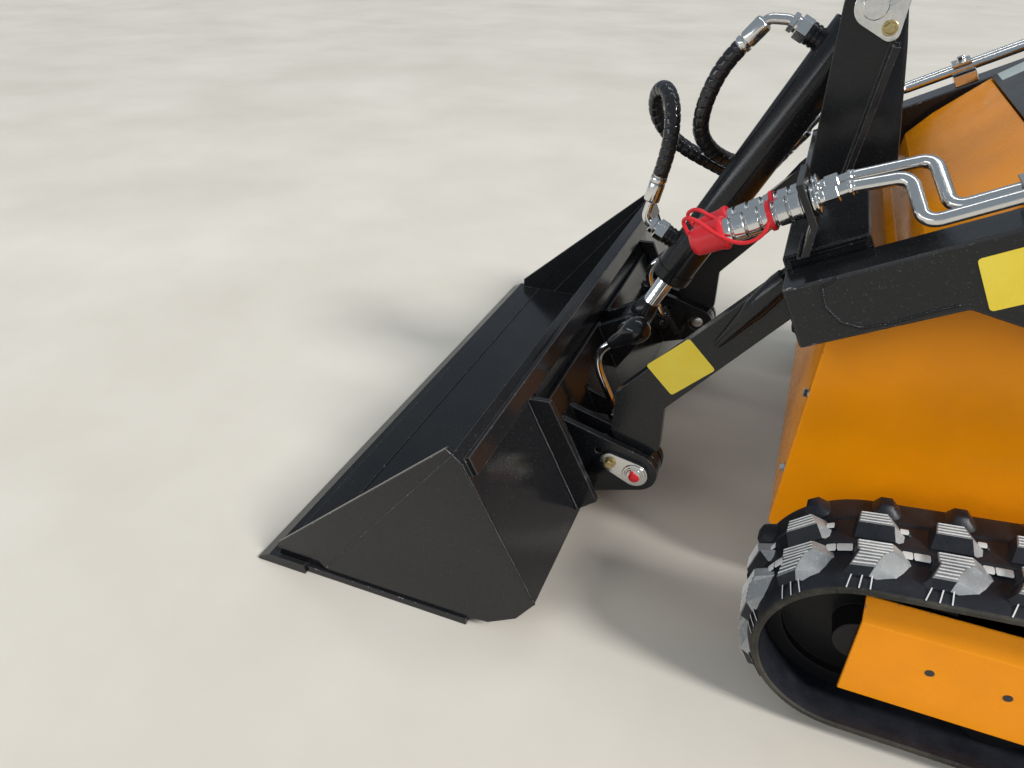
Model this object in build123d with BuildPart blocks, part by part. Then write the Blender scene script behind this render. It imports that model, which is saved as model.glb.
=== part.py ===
"""A mini track loader with a bucket: a compact machine on two rubber tracks, driven from a step behind it.

Stations are millimetres behind the front of the bucket's cutting edge, heights are above the ground,
and sides are measured from the middle plane, the machine's left being positive.
The origin is on the ground, in the middle of the machine's length and width. +X is forward, +Z is up.
"""

import os
from math import acos, atan2, cos, degrees, hypot, pi, radians, sin, tan

from build123d import *

os.makedirs("parts", exist_ok=True)

# Clearances
seat_gap = 0.3
pin_play = 0.05
rod_play = 0.1
hinge_gap = 2.0

# Bucket
bucket_half = 540.0
edge_overhang = 10.0
edge_width = 2 * (bucket_half + edge_overhang)
edge_depth = 88.0
edge_thick = 12.0
edge_step = 5.0
edge_rebate = 3.0
side_thick = 8.0
shell_thick = 6.0
tip_station = 35.0
tip_height = 38.0
lip = (340.0, 312.0)
back_high = (360.0, 296.0)
back_low = (463.0, 81.0)
heel = (437.0, 43.0)
heel_front = (394.0, 16.0)
floor_end = 361.0
rail_depth = 28.0
rail_thick = 8.0
rail_step_depth = 24.0
rail_step_thick = 5.0
hook_side = 330.0
hook_thick = 10.0
hook_reach = 34.0

# Quick attach frame and the pins at the arms' feet
foot_pin = (534.0, 147.0)
foot_pin_radius = 15.0
foot_boss_radius = 33.0
leg_side = 265.0
leg_thick = 20.0
ear_gap = 4.0
ear_thick = 12.0
ear_radius = 34.0
frame_thick = 12.0
frame_half = 318.0
frame_top_run = 54.0
frame_low_run = 232.0
notch_run = 142.0
pin_head_radius = 21.0
pin_head_thick = 7.0
keeper_thick = 6.0
keeper_offset = (-39.0, 13.0)
keeper_end_radius = 16.0
lever_pivot = (474.0, 172.0)
lever_bends = ((450.0, 222.0), (431.0, 266.0), (443.0, 295.0), (458.0, 303.0))
lever_side = 183.0
lever_radius = 6.5
lever_lug_side = 168.0
lever_lug_thick = 8.0
lever_pin_radius = 5.0
grip_neck = (452.0, 300.0)
grip_shoulder = (472.0, 315.0)
grip_end = (508.0, 346.0)
grip_radius = 19.0

# Tilt cylinder, on the middle plane
tilt_top_pin = (722.0, 778.0)
tilt_eye = (452.0, 250.0)
tilt_pin_radius = 15.0
tilt_barrel_radius = 32.0
tilt_bore_radius = 25.0
tilt_rod_radius = 15.0
tilt_eye_radius = 27.0
tilt_eye_half = 22.0
tilt_barrel_start = 34.0
tilt_barrel_end = 482.0
tilt_gland = 26.0
clevis_thick = 12.0
clevis_gap = 3.0
port_radius = 13.0
steel_tube_radius = 7.5
nut_radius = 14.0

# Lift arms
arm_nose = (685.0, 523.0)
arm_slope = 26.8
arm_reach = 1315.6
arm_inner = 325.0
arm_outer = 385.0
arm_front_depth = 75.0
arm_boss_radius = 46.0
arm_pin_radius = 20.0
knee_run = 168.0
bracket_end_run = 430.0
lift_eye_run = 273.0
lift_eye_drop = 158.0
lift_lug_radius = 38.0
bracket_front = ((925.0, 523.0), (966.0, 488.0))
slot_roof = 62.0
leg_top_width = 62.0
leg_knee = (562.0, 262.0)
leg_front = (489.0, 274.0)
leg_front_low = (487.0, 205.0)
cross_length = 96.0
cross_depth = 90.0
cross_wall = 8.0

# Tower that carries the tilt cylinder
tower_side = 44.0
tower_thick = 14.0
tower_head_radius = 38.0
tower_front_run = 10.0
tower_rear_run = 132.0
tower_tongue = 30.0
rib_reach = 40.0
rib_thick = 10.0

# Lift cylinders
lift_base = (1850.0, 740.0)
lift_side = 355.0
lift_pin_radius = 12.5
lift_barrel_radius = 30.0
lift_bore_radius = 22.0
lift_rod_radius = 14.0
lift_eye_radius = 26.0
lift_eye_half = 15.0
lift_barrel_start = 30.0
lift_barrel_end = 760.0
lift_gland = 24.0
lift_rod_inside = 420.0
lift_lug_gap = 2.0
lift_lug_thick = 12.0

# Body between the tracks
body_half = 300.0
wall = 6.0
body_low = 90.0
body_front_low = (737.0, 128.0)
body_front_high = (750.0, 430.0)
cross_clear = (822.0, 488.0)
nose_low = (830.0, 553.0)
nose_crease = (862.0, 590.0)
hood_front = (928.0, 648.0)
hood_bend = (1180.0, 812.0)
hood_rear = (1560.0, 905.0)
body_rear = 1900.0
deck_height = 240.0
deck_rear = 1880.0
hood_thick = 4.0
hood_hinge = (1561.0, 918.0)
hood_hinge_radius = 9.0
hinge_pin_radius = 4.0
hinge_side = 90.0
hinge_long = 60.0

# Heavy things inside the body
engine_front = 1130.0
engine_rear = 1530.0
engine_half = 210.0
engine_top = 640.0
radiator_front = 1790.0
radiator_rear = 1850.0
radiator_half = 215.0
radiator_top = 800.0

# Rear of the body
grille_low = 420.0
grille_high = 820.0
grille_half = 225.0
grille_thick = 5.0
louvre_count = 11
louvre_height = 14.0
console_half = 240.0
console_front = 1600.0
console_top = (1690.0, 1140.0)
console_edge = (1880.0, 1050.0)
upright_thick = 18.0
upright_boss_radius = 60.0
upright_corner_radius = 30.0
upright_corners = ((1700.0, 440.0), (1700.0, 330.0), (1890.0, 330.0), (1940.0, 700.0))
rail_tube_radius = 13.0
rail_rear = 1985.0
rail_height = 1165.0
lever_sides = (-120.0, 0.0, 120.0)

# Step at the rear
step_hinge = (body_rear + 62.0, 205.0)
step_rear = body_rear + 380.0
step_half = 230.0
step_plate = 5.0
step_depth = 34.0
step_tube_radius = 12.0

# Tracks and what they run on
track_inner = 375.0
track_outer = 530.0
belt_thick = 15.0
lug_height = 15.0
lug_bands = ((377.0, 408.0), (423.0, 455.0), (468.0, 512.0))
lug_pitch = 77.0
lug_base = 46.0
lug_tip = 32.0
idler_station = 858.0
idler_radius = 111.0
idler_hub_radius = 30.0
idler_inner_side = 433.0
idler_outer_side = 472.0
tail_station = 1532.0
tail_radius = 38.0
sprocket_station = 1640.0
sprocket_height = 212.0
sprocket_radius = 125.0
tooth_count = 13
roller_radius = 45.0
roller_first = 1030.0
roller_step = 102.0
roller_count = 5
frame_inner_side = 405.0
frame_outer_side = 500.0
frame_wall = 6.0
frame_shoulder = 22.0
frame_bend_height = 181.0
frame_top_height = 203.0
frame_low_height = 60.0
frame_front = 852.0
frame_slot_end = 1080.0
frame_rear = 1572.0
axle_beam_stations = (1000.0, 1400.0)
axle_beam_size = 70.0
axle_beam_height = 130.0
wheel_inner_side = 415.0
wheel_outer_side = 490.0

# Hydraulic couplers for tools, on the left arm
coupler_rear = (690.0, 603.0)
coupler_slope = 29.5
coupler_sides = (284.0, 322.0)
coupler_length = 82.0
coupler_radius = 16.0
cap_length = 44.0
cap_radius = 21.0
coupler_plate_thick = 8.0

# Steel tubes along the arms
tube_lift = 25.0
tube_sides = (346.0, 368.0)
tube_left_runs = ((170.0, 174.0), (145.0, 148.0))
tube_right_runs = ((138.0, 150.0), (105.0, 117.0))
tube_end_run = 1205.0

# Hoses of the tilt cylinder
hose_radius = 12.0
ferrule_length = 30.0
ferrule_radius = 10.0
ferrule_sides = (-292.0, -326.0)
ferrule_low = (639.0, 504.0)
ferrule_high = (668.0, 547.0)

nose = step_rear / 2
belt_height = lug_height + belt_thick
idler_height = belt_height + idler_radius
tail_height = belt_height + tail_radius
hub_inner_side = frame_inner_side + frame_wall + seat_gap
hub_outer_side = frame_outer_side - frame_wall - seat_gap
arm_turn = radians(arm_slope)


def at(station, height):
    """A point of a side view."""
    return (nose - station, height)


def place(station, side, height):
    """A point in space."""
    return (nose - station, side, height)


def along(start, end, run, out=0.0):
    """The point at a run from start towards end, moved out to the left of that way in a side view."""
    length = hypot(end[0] - start[0], end[1] - start[1])
    ahead = (end[0] - start[0]) / length
    up = (end[1] - start[1]) / length
    return (start[0] + ahead * run - up * out, start[1] + up * run + ahead * out)


def on_arm(run, out):
    """A point of the side view, measured along the lift arm's top edge and square to it."""
    return (
        arm_nose[0] + run * cos(arm_turn) - out * sin(arm_turn),
        arm_nose[1] + run * sin(arm_turn) + out * cos(arm_turn),
    )


def circled(points, radius=0.0):
    """Side view points as circles of one radius."""
    return [(station, height, radius) for station, height in points]


def wrapped(plane, circles):
    """The face inside a belt round circles, each given as station, height and radius, listed in turn."""
    rounds = [(*at(station, height), radius) for station, height, radius in circles]
    pairs = list(zip(rounds, rounds[1:] + rounds[:1]))
    if sum(a[0] * b[1] - a[1] * b[0] for a, b in pairs) < 0:
        rounds.reverse()
        pairs = list(zip(rounds, rounds[1:] + rounds[:1]))
    spans = []
    for (x1, z1, r1), (x2, z2, r2) in pairs:
        out = atan2(z2 - z1, x2 - x1) - acos((r1 - r2) / hypot(x2 - x1, z2 - z1))
        start = (x1 + r1 * cos(out), z1 + r1 * sin(out))
        end = (x2 + r2 * cos(out), z2 + r2 * sin(out))
        spans.append((start, end, degrees(out)))
    with BuildSketch(plane) as face:
        with BuildLine():
            for index, (start, end, out) in enumerate(spans):
                Line(start, end)
                x, z, radius = rounds[(index + 1) % len(rounds)]
                next_out = spans[(index + 1) % len(spans)][2]
                if radius > 0:
                    CenterArc((x, z), radius, out, (next_out - out) % 360)
        make_face()
    return face.sketch


def side_plane(side):
    """The side view's plane at a distance from the middle, with extrusions going to the right."""
    return Plane.XZ.offset(-side)


def belt_plate(circles, low, high, mode=Mode.ADD):
    """A plate between two sides, with the outline of a belt round circles."""
    extrude(wrapped(side_plane(high), circles), amount=high - low, mode=mode)


def plate(points, low, high, mode=Mode.ADD):
    """A plate between two sides, with straight edges through side view points."""
    with BuildSketch(side_plane(high)) as outline:
        with BuildLine():
            Polyline(*[at(*point) for point in points], close=True)
        make_face()
    extrude(outline.sketch, amount=high - low, mode=mode)


def drum(centre, radius, low, high, mode=Mode.ADD):
    """A cylinder across the machine between two sides."""
    with BuildSketch(side_plane(high)) as outline:
        with Locations(at(*centre)):
            Circle(radius)
    extrude(outline.sketch, amount=high - low, mode=mode)


def rod(start, end, radius, mode=Mode.ADD):
    """A round bar between two points in space."""
    run = Vector(*end) - Vector(*start)
    with BuildSketch(Plane(origin=start, z_dir=run)) as section:
        Circle(radius)
    extrude(section.sketch, amount=run.length, mode=mode)


def pipe(points, radius, bend):
    """A round tube along straight runs joined by arcs."""
    with BuildLine() as route:
        FilletPolyline(*points, radius=bend)
    with BuildSketch(Plane(origin=route.line @ 0, z_dir=route.line % 0)) as section:
        Circle(radius)
    sweep(section.sketch, path=route.line)


def block(front, rear, low_side, high_side, low, high, mode=Mode.ADD):
    """A box between two stations, two sides and two heights."""
    plate([(front, low), (rear, low), (rear, high), (front, high)], low_side, high_side, mode)


def both_sides(low, high):
    """The same band of sides on the left and on the right."""
    return ((low, high), (-high, -low))


def store(piece, label):
    """Name a finished piece and write it."""
    piece.part.label = label
    export_step(piece.part, f"parts/{label}.step")


# Cutting edge, a bevelled bar under the floor's front
with BuildPart() as cutting_edge:
    edge_top = edge_thick + edge_step
    plate(
        [
            (0, 0),
            (edge_depth, 0),
            (edge_depth, edge_thick),
            (tip_station - seat_gap, edge_thick),
            (tip_station - seat_gap, edge_top),
            (22, edge_top),
            (0, 5),
        ],
        -edge_width / 2,
        edge_width / 2,
    )
    for low, high in both_sides(bucket_half + seat_gap, edge_width / 2):
        block(tip_station - 2, edge_depth, low, high, edge_thick - 1, edge_top)
store(cutting_edge, "cutting_edge")

# Wear plate behind it
with BuildPart() as wear_plate:
    block(edge_depth + seat_gap, floor_end, -bucket_half - 4, bucket_half + 4, 0, edge_thick - seat_gap)
store(wear_plate, "wear_plate")

# Bucket: one bent sheet, two side plates, the top rail and the hooks' gussets
sheet_path = [
    (tip_station, edge_thick),
    (floor_end, edge_thick),
    heel_front,
    heel,
    back_low,
    back_high,
    lip,
]
side_outline = [(tip_station, tip_height)] + sheet_path
with BuildPart() as bucket:
    with BuildSketch(side_plane(bucket_half)) as shell:
        with BuildLine():
            Polyline(*[at(*point) for point in side_outline], close=True)
        make_face()
    extrude(shell.sketch, amount=2 * bucket_half)
    with BuildSketch(side_plane(bucket_half - side_thick)) as hollow:
        with BuildLine():
            Polyline(*[at(*point) for point in side_outline], close=True)
        make_face()
        offset(amount=-shell_thick, kind=Kind.INTERSECTION)
        with BuildLine():
            Polyline(
                at(tip_station - 20, edge_thick + shell_thick),
                at(tip_station + 60, edge_thick + shell_thick),
                at(*along(back_high, back_low, 40, -shell_thick)),
                at(*along(back_high, back_low, 8, -shell_thick)),
                at(lip[0] - shell_thick, lip[1] + 20),
                at(tip_station - 20, tip_height + 20),
                close=True,
            )
        make_face()
    extrude(hollow.sketch, amount=2 * (bucket_half - side_thick), mode=Mode.SUBTRACT)
    plate(
        [
            back_high,
            along(back_high, back_low, rail_depth),
            along(back_high, back_low, rail_depth, rail_thick),
            along(back_high, back_low, 0, rail_thick),
        ],
        -bucket_half + 10,
        bucket_half - 10,
    )
    plate(
        [
            along(back_high, back_low, rail_depth),
            along(back_high, back_low, rail_depth + rail_step_depth),
            along(back_high, back_low, rail_depth + rail_step_depth, rail_step_thick),
            along(back_high, back_low, rail_depth, rail_step_thick),
        ],
        -frame_half,
        frame_half,
    )
    for low, high in both_sides(hook_side, hook_side + hook_thick):
        plate(
            [
                along(back_high, back_low, 26),
                along(back_high, back_low, 40, hook_reach),
                along(back_high, back_low, 222, hook_reach + 4),
                along(back_high, back_low, 232),
            ],
            low,
            high,
        )
    # A shallow rebate along the lower front edge of each side plate
    for low, high in both_sides(bucket_half - edge_rebate, bucket_half + 1):
        plate([(20, 11), (124, 11), (110, 27), (20, 27)], low, high, Mode.SUBTRACT)
store(bucket, "bucket")

# Quick attach frame: a plate on the bucket's back with ears for the arms' feet and the rod's eye
ear_bands = (
    (leg_side + leg_thick / 2 + ear_gap, leg_side + leg_thick / 2 + ear_gap + ear_thick),
    (leg_side - leg_thick / 2 - ear_gap - ear_thick, leg_side - leg_thick / 2 - ear_gap),
)
clevis_low = tilt_eye_half + clevis_gap
with BuildPart() as attach_frame:
    plate(
        [
            along(back_high, back_low, frame_top_run, seat_gap),
            along(back_high, back_low, frame_low_run, seat_gap),
            along(back_high, back_low, frame_low_run, seat_gap + frame_thick),
            along(back_high, back_low, frame_top_run, seat_gap + frame_thick),
        ],
        -frame_half,
        frame_half,
    )
    plate_back = seat_gap + frame_thick / 2
    for ear_low, ear_high in ear_bands:
        for low, high in both_sides(ear_low, ear_high):
            belt_plate(
                [
                    (*along(back_high, back_low, 90, plate_back), 0),
                    (*foot_pin, ear_radius),
                    (*along(back_high, back_low, frame_low_run, plate_back), 0),
                ],
                low,
                high,
            )
    for low, high in both_sides(clevis_low, clevis_low + clevis_thick):
        belt_plate(
            [
                (*along(back_high, back_low, 58, plate_back), 0),
                (*tilt_eye, tilt_eye_radius),
                (*along(back_high, back_low, 150, plate_back), 0),
            ],
            low,
            high,
        )
    for low, high in both_sides(lever_lug_side, lever_lug_side + lever_lug_thick):
        belt_plate(
            [
                (*along(back_high, back_low, 102, plate_back), 0),
                (*lever_pivot, 13),
                (*along(back_high, back_low, 152, plate_back), 0),
            ],
            low,
            high,
        )
    plate(
        [
            along(back_high, back_low, frame_top_run, 0),
            along(back_high, back_low, notch_run, 0),
            along(back_high, back_low, notch_run, plate_back + frame_thick),
            along(back_high, back_low, frame_top_run, plate_back + frame_thick),
        ],
        -clevis_low,
        clevis_low,
        Mode.SUBTRACT,
    )
    drum(foot_pin, foot_pin_radius + pin_play, -frame_half, frame_half, Mode.SUBTRACT)
    drum(tilt_eye, tilt_pin_radius + pin_play, -frame_half, frame_half, Mode.SUBTRACT)
    drum(lever_pivot, lever_pin_radius + pin_play, -frame_half, frame_half, Mode.SUBTRACT)
store(attach_frame, "attach_frame")

# Lock levers on the attach frame, a bent rod each side with a pear grip
with BuildPart() as lock_levers:
    for side in (1, -1):
        rod_side = side * lever_side
        bends = [place(station, rod_side, height) for station, height in (lever_pivot, *lever_bends)]
        pipe(bends, lever_radius, 14)
        lever_face = lever_lug_side + lever_lug_thick
        low, high = sorted((side * (lever_face + seat_gap), side * (lever_side + 9)))
        drum(lever_pivot, 12, low, high)
        low, high = sorted((side * (lever_lug_side - 6), side * (lever_face + 1)))
        drum(lever_pivot, lever_pin_radius, low, high)
        neck = place(grip_neck[0], rod_side, grip_neck[1])
        shoulder = place(grip_shoulder[0], rod_side, grip_shoulder[1])
        rod(neck, shoulder, 11)
        rod(shoulder, place(grip_end[0], rod_side, grip_end[1]), grip_radius)
store(lock_levers, "lock_levers")

# Pins of the attach frame: at the arms' feet, each with its keeper plate and bolt, and at the rod's eye
ear_face = ear_bands[0][1]
keeper_bolt = (foot_pin[0] + keeper_offset[0], foot_pin[1] + keeper_offset[1])
with BuildPart() as attach_pins:
    for side in (1, -1):
        low, high = sorted((side * (ear_bands[1][0] - 4), side * (ear_face + seat_gap)))
        drum(foot_pin, foot_pin_radius, low, high)
        low, high = sorted((side * (ear_face + seat_gap), side * (ear_face + seat_gap + keeper_thick)))
        belt_plate([(*foot_pin, pin_head_radius), (*keeper_bolt, keeper_end_radius)], low, high)
        face = ear_face + seat_gap + keeper_thick
        low, high = sorted((side * face, side * (face + pin_head_thick)))
        drum(foot_pin, pin_head_radius - 4, low, high)
        drum(keeper_bolt, 9, low, high)
    # Heads that hold the rod's eye between the clevis plates
    for low, high in both_sides(clevis_low + 1, clevis_low + clevis_thick + 8):
        drum(tilt_eye, tilt_pin_radius, low, high)
    for low, high in both_sides(clevis_low + clevis_thick + seat_gap, clevis_low + clevis_thick + 8):
        drum(tilt_eye, tilt_pin_radius + 7, low, high)
store(attach_pins, "attach_pins")

# Lift arms, a welded box each side, with the bracket for the lift cylinder's rod
lift_eye = on_arm(lift_eye_run, -lift_eye_drop)
arm_pivot = on_arm(arm_reach, -arm_boss_radius)
slot_half = lift_eye_half + lift_lug_gap
for label, side in (("arm_left", 1), ("arm_right", -1)):
    low, high = sorted((side * arm_inner, side * arm_outer))
    middle = side * (arm_inner + arm_outer) / 2
    with BuildPart() as arm:
        plate(
            [
                on_arm(0, 0),
                on_arm(arm_reach, 0),
                on_arm(arm_reach, -2 * arm_boss_radius),
                on_arm(knee_run, -arm_front_depth + 2),
                on_arm(0, -arm_front_depth),
            ],
            low,
            high,
        )
        drum(arm_pivot, arm_boss_radius, low, high)
        plate(
            [
                on_arm(knee_run, -arm_front_depth + 3),
                *bracket_front,
                lift_eye,
                on_arm(bracket_end_run - 60, -arm_front_depth / 2),
                on_arm(knee_run + 10, -arm_front_depth / 2),
            ],
            low,
            high,
        )
        belt_plate(
            [
                (*lift_eye, lift_lug_radius),
                (*on_arm(bracket_end_run, -arm_front_depth), 0),
                (*on_arm(bracket_end_run - 60, -arm_front_depth / 2), 0),
                (*on_arm(knee_run + 80, -arm_front_depth / 2), 0),
            ],
            low,
            high,
        )
        belt_plate(
            [
                (*lift_eye, slot_roof),
                (*along(lift_eye, lift_base, 260), lift_barrel_radius + 20),
                (*along(lift_eye, lift_base, 260, -120), lift_barrel_radius + 20),
                (*along(lift_eye, lift_base, 0, -120), slot_roof),
            ],
            middle - slot_half,
            middle + slot_half,
            Mode.SUBTRACT,
        )
        drum(arm_pivot, arm_pin_radius + pin_play, low, high, Mode.SUBTRACT)
        drum(lift_eye, lift_pin_radius + pin_play, low, high, Mode.SUBTRACT)
    store(arm, label)

# Pin heads on the arms' brackets, one each side of the rod's eye
with BuildPart() as lift_eye_pins:
    for side in (1, -1):
        for inner, outer, cap in (
            (arm_inner - 5, (arm_inner + arm_outer) / 2 - slot_half - 1, arm_inner - 5),
            ((arm_inner + arm_outer) / 2 + slot_half + 1, arm_outer + 5, arm_outer + seat_gap),
        ):
            low, high = sorted((side * inner, side * outer))
            drum(lift_eye, lift_pin_radius, low, high)
            low, high = sorted((side * cap, side * (cap + 5 - seat_gap)))
            drum(lift_eye, lift_pin_radius + 8, low, high)
store(lift_eye_pins, "lift_eye_pins")

# Legs from the cross member down to the feet
with BuildPart() as legs:
    for low, high in both_sides(leg_side - leg_thick / 2, leg_side + leg_thick / 2):
        plate(
            [
                leg_front,
                on_arm(-seat_gap, -16),
                on_arm(-seat_gap, -arm_front_depth),
                leg_knee,
                (foot_pin[0] + 29, foot_pin[1] + 40),
                foot_pin,
                (foot_pin[0] - 29, foot_pin[1] + 30),
                leg_front_low,
            ],
            low,
            high,
        )
        drum(foot_pin, foot_boss_radius, low, high)
    drum(foot_pin, foot_pin_radius + pin_play, -leg_side - leg_thick, leg_side + leg_thick, Mode.SUBTRACT)
store(legs, "legs")

# Cross member, a square tube between the arms
cross_top = 15.0
with BuildPart() as cross_member:
    corners = [
        on_arm(0, cross_top),
        on_arm(cross_length, cross_top),
        on_arm(cross_length, cross_top - cross_depth),
        on_arm(0, cross_top - cross_depth),
    ]
    plate(corners, -arm_inner + seat_gap, arm_inner - seat_gap)
    inner_corners = [
        on_arm(cross_wall, cross_top - cross_wall),
        on_arm(cross_length - cross_wall, cross_top - cross_wall),
        on_arm(cross_length - cross_wall, cross_top - cross_depth + cross_wall),
        on_arm(cross_wall, cross_top - cross_depth + cross_wall),
    ]
    plate(inner_corners, -arm_inner, arm_inner, Mode.SUBTRACT)
store(cross_member, "cross_member")

# Tower: two plates on the cross member with a rib outside each, holding the tilt cylinder's top pin
tower_foot = cross_top + seat_gap
with BuildPart() as tower:
    for low, high in both_sides(tower_side, tower_side + tower_thick):
        plate(
            [
                on_arm(tower_front_run, tower_foot),
                (tilt_top_pin[0] - tower_head_radius, tilt_top_pin[1] - 20),
                (tilt_top_pin[0] - tower_head_radius, tilt_top_pin[1]),
                (tilt_top_pin[0] + tower_head_radius, tilt_top_pin[1]),
                (tilt_top_pin[0] + tower_head_radius + 10, tilt_top_pin[1] - 43),
                on_arm(tower_rear_run, tower_foot),
                on_arm(cross_length + seat_gap, tower_foot - tower_tongue),
                on_arm(cross_length + seat_gap, tower_foot),
            ],
            low,
            high,
        )
        drum(tilt_top_pin, tower_head_radius, low, high)
    for low, high in both_sides(tower_side + tower_thick, tower_side + tower_thick + rib_reach):
        plate(
            [
                on_arm(58, tower_foot),
                (750, 738),
                (750 + rib_thick, 738),
                on_arm(58 + rib_thick, tower_foot),
            ],
            low,
            high,
        )
    drum(tilt_top_pin, tilt_pin_radius + pin_play, -200, 200, Mode.SUBTRACT)
store(tower, "tower")

# Top pin of the tilt cylinder with its keeper plates
tower_face = tower_side + tower_thick
with BuildPart() as tower_pin:
    drum(tilt_top_pin, tilt_pin_radius, -tower_face - 10, tower_face + 10)
    for low, high in both_sides(tower_face + seat_gap, tower_face + seat_gap + keeper_thick):
        belt_plate(
            [
                (*tilt_top_pin, 25),
                (tilt_top_pin[0] + 24, tilt_top_pin[1] - 27, 12),
                (tilt_top_pin[0] + 20, tilt_top_pin[1] + 8, 18),
            ],
            low,
            high,
        )
store(tower_pin, "tower_pin")


def on_tilt(run, out=0.0):
    """A point of the side view along the tilt cylinder from its top pin, moved out to the front."""
    return along(tilt_top_pin, tilt_eye, run, -out)


def along_tilt(run, side=0.0, out=0.0):
    """The same as a point in space."""
    station, height = on_tilt(run, out)
    return place(station, side, height)


# Tilt cylinder's barrel with its top eye and ports
port_runs = (70.0, 422.0)
with BuildPart() as tilt_barrel:
    drum(tilt_top_pin, tilt_eye_radius, -tower_side + clevis_gap, tower_side - clevis_gap)
    rod(along_tilt(tilt_eye_radius - 12), along_tilt(tilt_barrel_start + 20), 22)
    rod(along_tilt(tilt_barrel_start), along_tilt(tilt_barrel_end), tilt_barrel_radius)
    gland = along_tilt(tilt_barrel_end - tilt_gland)
    rod(along_tilt(tilt_barrel_start + 20), gland, tilt_bore_radius, Mode.SUBTRACT)
    rod(gland, along_tilt(tilt_barrel_end), tilt_rod_radius + rod_play, Mode.SUBTRACT)
    for run in port_runs:
        face = along_tilt(run, 0, tilt_barrel_radius + 16)
        rod(along_tilt(run, 0, tilt_barrel_radius - 5), face, port_radius)
    drum(tilt_top_pin, tilt_pin_radius + pin_play, -tower_side, tower_side, Mode.SUBTRACT)
store(tilt_barrel, "tilt_barrel")

# Tilt cylinder's rod with its piston and eye
tilt_length = hypot(tilt_eye[0] - tilt_top_pin[0], tilt_eye[1] - tilt_top_pin[1])
tilt_rod_inside = 230.0
with BuildPart() as tilt_rod:
    rod(along_tilt(tilt_barrel_end - tilt_rod_inside), along_tilt(tilt_length - 10), tilt_rod_radius)
    rod(
        along_tilt(tilt_barrel_end - tilt_rod_inside),
        along_tilt(tilt_barrel_end - tilt_rod_inside + 24),
        tilt_bore_radius - rod_play,
    )
    drum(tilt_eye, tilt_eye_radius, -tilt_eye_half, tilt_eye_half)
store(tilt_rod, "tilt_rod")

# Steel elbows screwed into the barrel's ports, each ending in the ferrule that grips a hose
with BuildPart() as hose_elbows:
    for route in (
        [along_tilt(port_runs[0], 0, 80), place(591.8, 0, 752.6), place(560, 0, 714)],
        [along_tilt(port_runs[1], 0, 90), place(467, 0, 519)],
    ):
        port = port_runs[0] if len(route) > 2 else port_runs[1]
        start = Vector(*along_tilt(port, 0, tilt_barrel_radius + 16 + seat_gap))
        points = [start] + [Vector(*point) for point in route]
        pipe(points, steel_tube_radius, 16)
        rod(start, start + (points[1] - start).normalized() * 22, nut_radius)
        ahead = (points[-1] - points[-2]).normalized()
        rod(points[-1] - ahead * ferrule_length, points[-1], ferrule_radius)
store(hose_elbows, "hose_elbows")

# Lift cylinders, one barrel and one rod each side
lift_length = hypot(lift_base[0] - lift_eye[0], lift_base[1] - lift_eye[1])


def along_lift(run, side):
    """A point in space along a lift cylinder from its base pin."""
    station, height = along(lift_base, lift_eye, run)
    return place(station, side, height)


with BuildPart() as lift_barrels:
    for side in (lift_side, -lift_side):
        drum(lift_base, lift_eye_radius, side - lift_eye_half, side + lift_eye_half)
        rod(along_lift(lift_eye_radius - 10, side), along_lift(lift_barrel_start + 12, side), 14)
        rod(along_lift(lift_barrel_start, side), along_lift(lift_barrel_end, side), lift_barrel_radius)
        rod(
            along_lift(lift_barrel_start + 12, side),
            along_lift(lift_barrel_end - lift_gland, side),
            lift_bore_radius,
            Mode.SUBTRACT,
        )
        rod(
            along_lift(lift_barrel_end - lift_gland, side),
            along_lift(lift_barrel_end, side),
            lift_rod_radius + rod_play,
            Mode.SUBTRACT,
        )
        drum(
            lift_base,
            lift_pin_radius + pin_play,
            side - lift_eye_half,
            side + lift_eye_half,
            Mode.SUBTRACT,
        )
store(lift_barrels, "lift_barrels")

with BuildPart() as lift_rods:
    for side in (lift_side, -lift_side):
        inside = lift_barrel_end - lift_rod_inside
        rod(along_lift(inside, side), along_lift(lift_length - 10, side), lift_rod_radius)
        rod(along_lift(inside, side), along_lift(inside + 22, side), lift_bore_radius - rod_play)
        drum(lift_eye, lift_eye_radius, side - lift_eye_half, side + lift_eye_half)
store(lift_rods, "lift_rods")

# Uprights: plates on the body's sides that carry the arms' pivots and the lift cylinders' bases
upright_outer = body_half + seat_gap + upright_thick
lug_face = lift_side + lift_eye_half + lift_lug_gap + lift_lug_thick
for label, side in (("upright_left", 1), ("upright_right", -1)):
    low, high = sorted((side * (body_half + seat_gap), side * upright_outer))
    with BuildPart() as upright:
        belt_plate(
            [
                (*arm_pivot, upright_boss_radius),
                *circled(upright_corners, upright_corner_radius),
            ],
            low,
            high,
        )
        boss_low, boss_high = sorted((side * upright_outer, side * (arm_inner - 0.5)))
        drum(arm_pivot, arm_boss_radius, boss_low, boss_high)
        for lug_low, lug_high in (
            (upright_outer, lift_side - lift_eye_half - lift_lug_gap),
            (lug_face - lift_lug_thick, lug_face),
        ):
            lug = sorted((side * lug_low, side * lug_high))
            belt_plate([(*lift_base, lift_eye_radius + 4), (lift_base[0] + 46, lift_base[1], 30)], *lug)
        web = sorted((side * upright_outer, side * lug_face))
        block(lift_base[0] + 56, lift_base[0] + 74, *web, lift_base[1] - 26, lift_base[1] + 26)
        for centre, radius in ((arm_pivot, arm_pin_radius), (lift_base, lift_pin_radius)):
            drum(centre, radius + pin_play, -arm_outer - 40, arm_outer + 40, Mode.SUBTRACT)
    store(upright, label)

# Pivot pins of the arms and base pins of the lift cylinders
with BuildPart() as pivot_pins:
    for side in (1, -1):
        for centre, radius, start, end in (
            (arm_pivot, arm_pin_radius, body_half + seat_gap, arm_outer + seat_gap),
            (lift_base, lift_pin_radius, body_half + seat_gap, lug_face + seat_gap),
        ):
            low, high = sorted((side * start, side * end))
            drum(centre, radius, low, high)
            low, high = sorted((side * end, side * (end + 7)))
            drum(centre, radius + 12, low, high)
store(pivot_pins, "pivot_pins")

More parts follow.
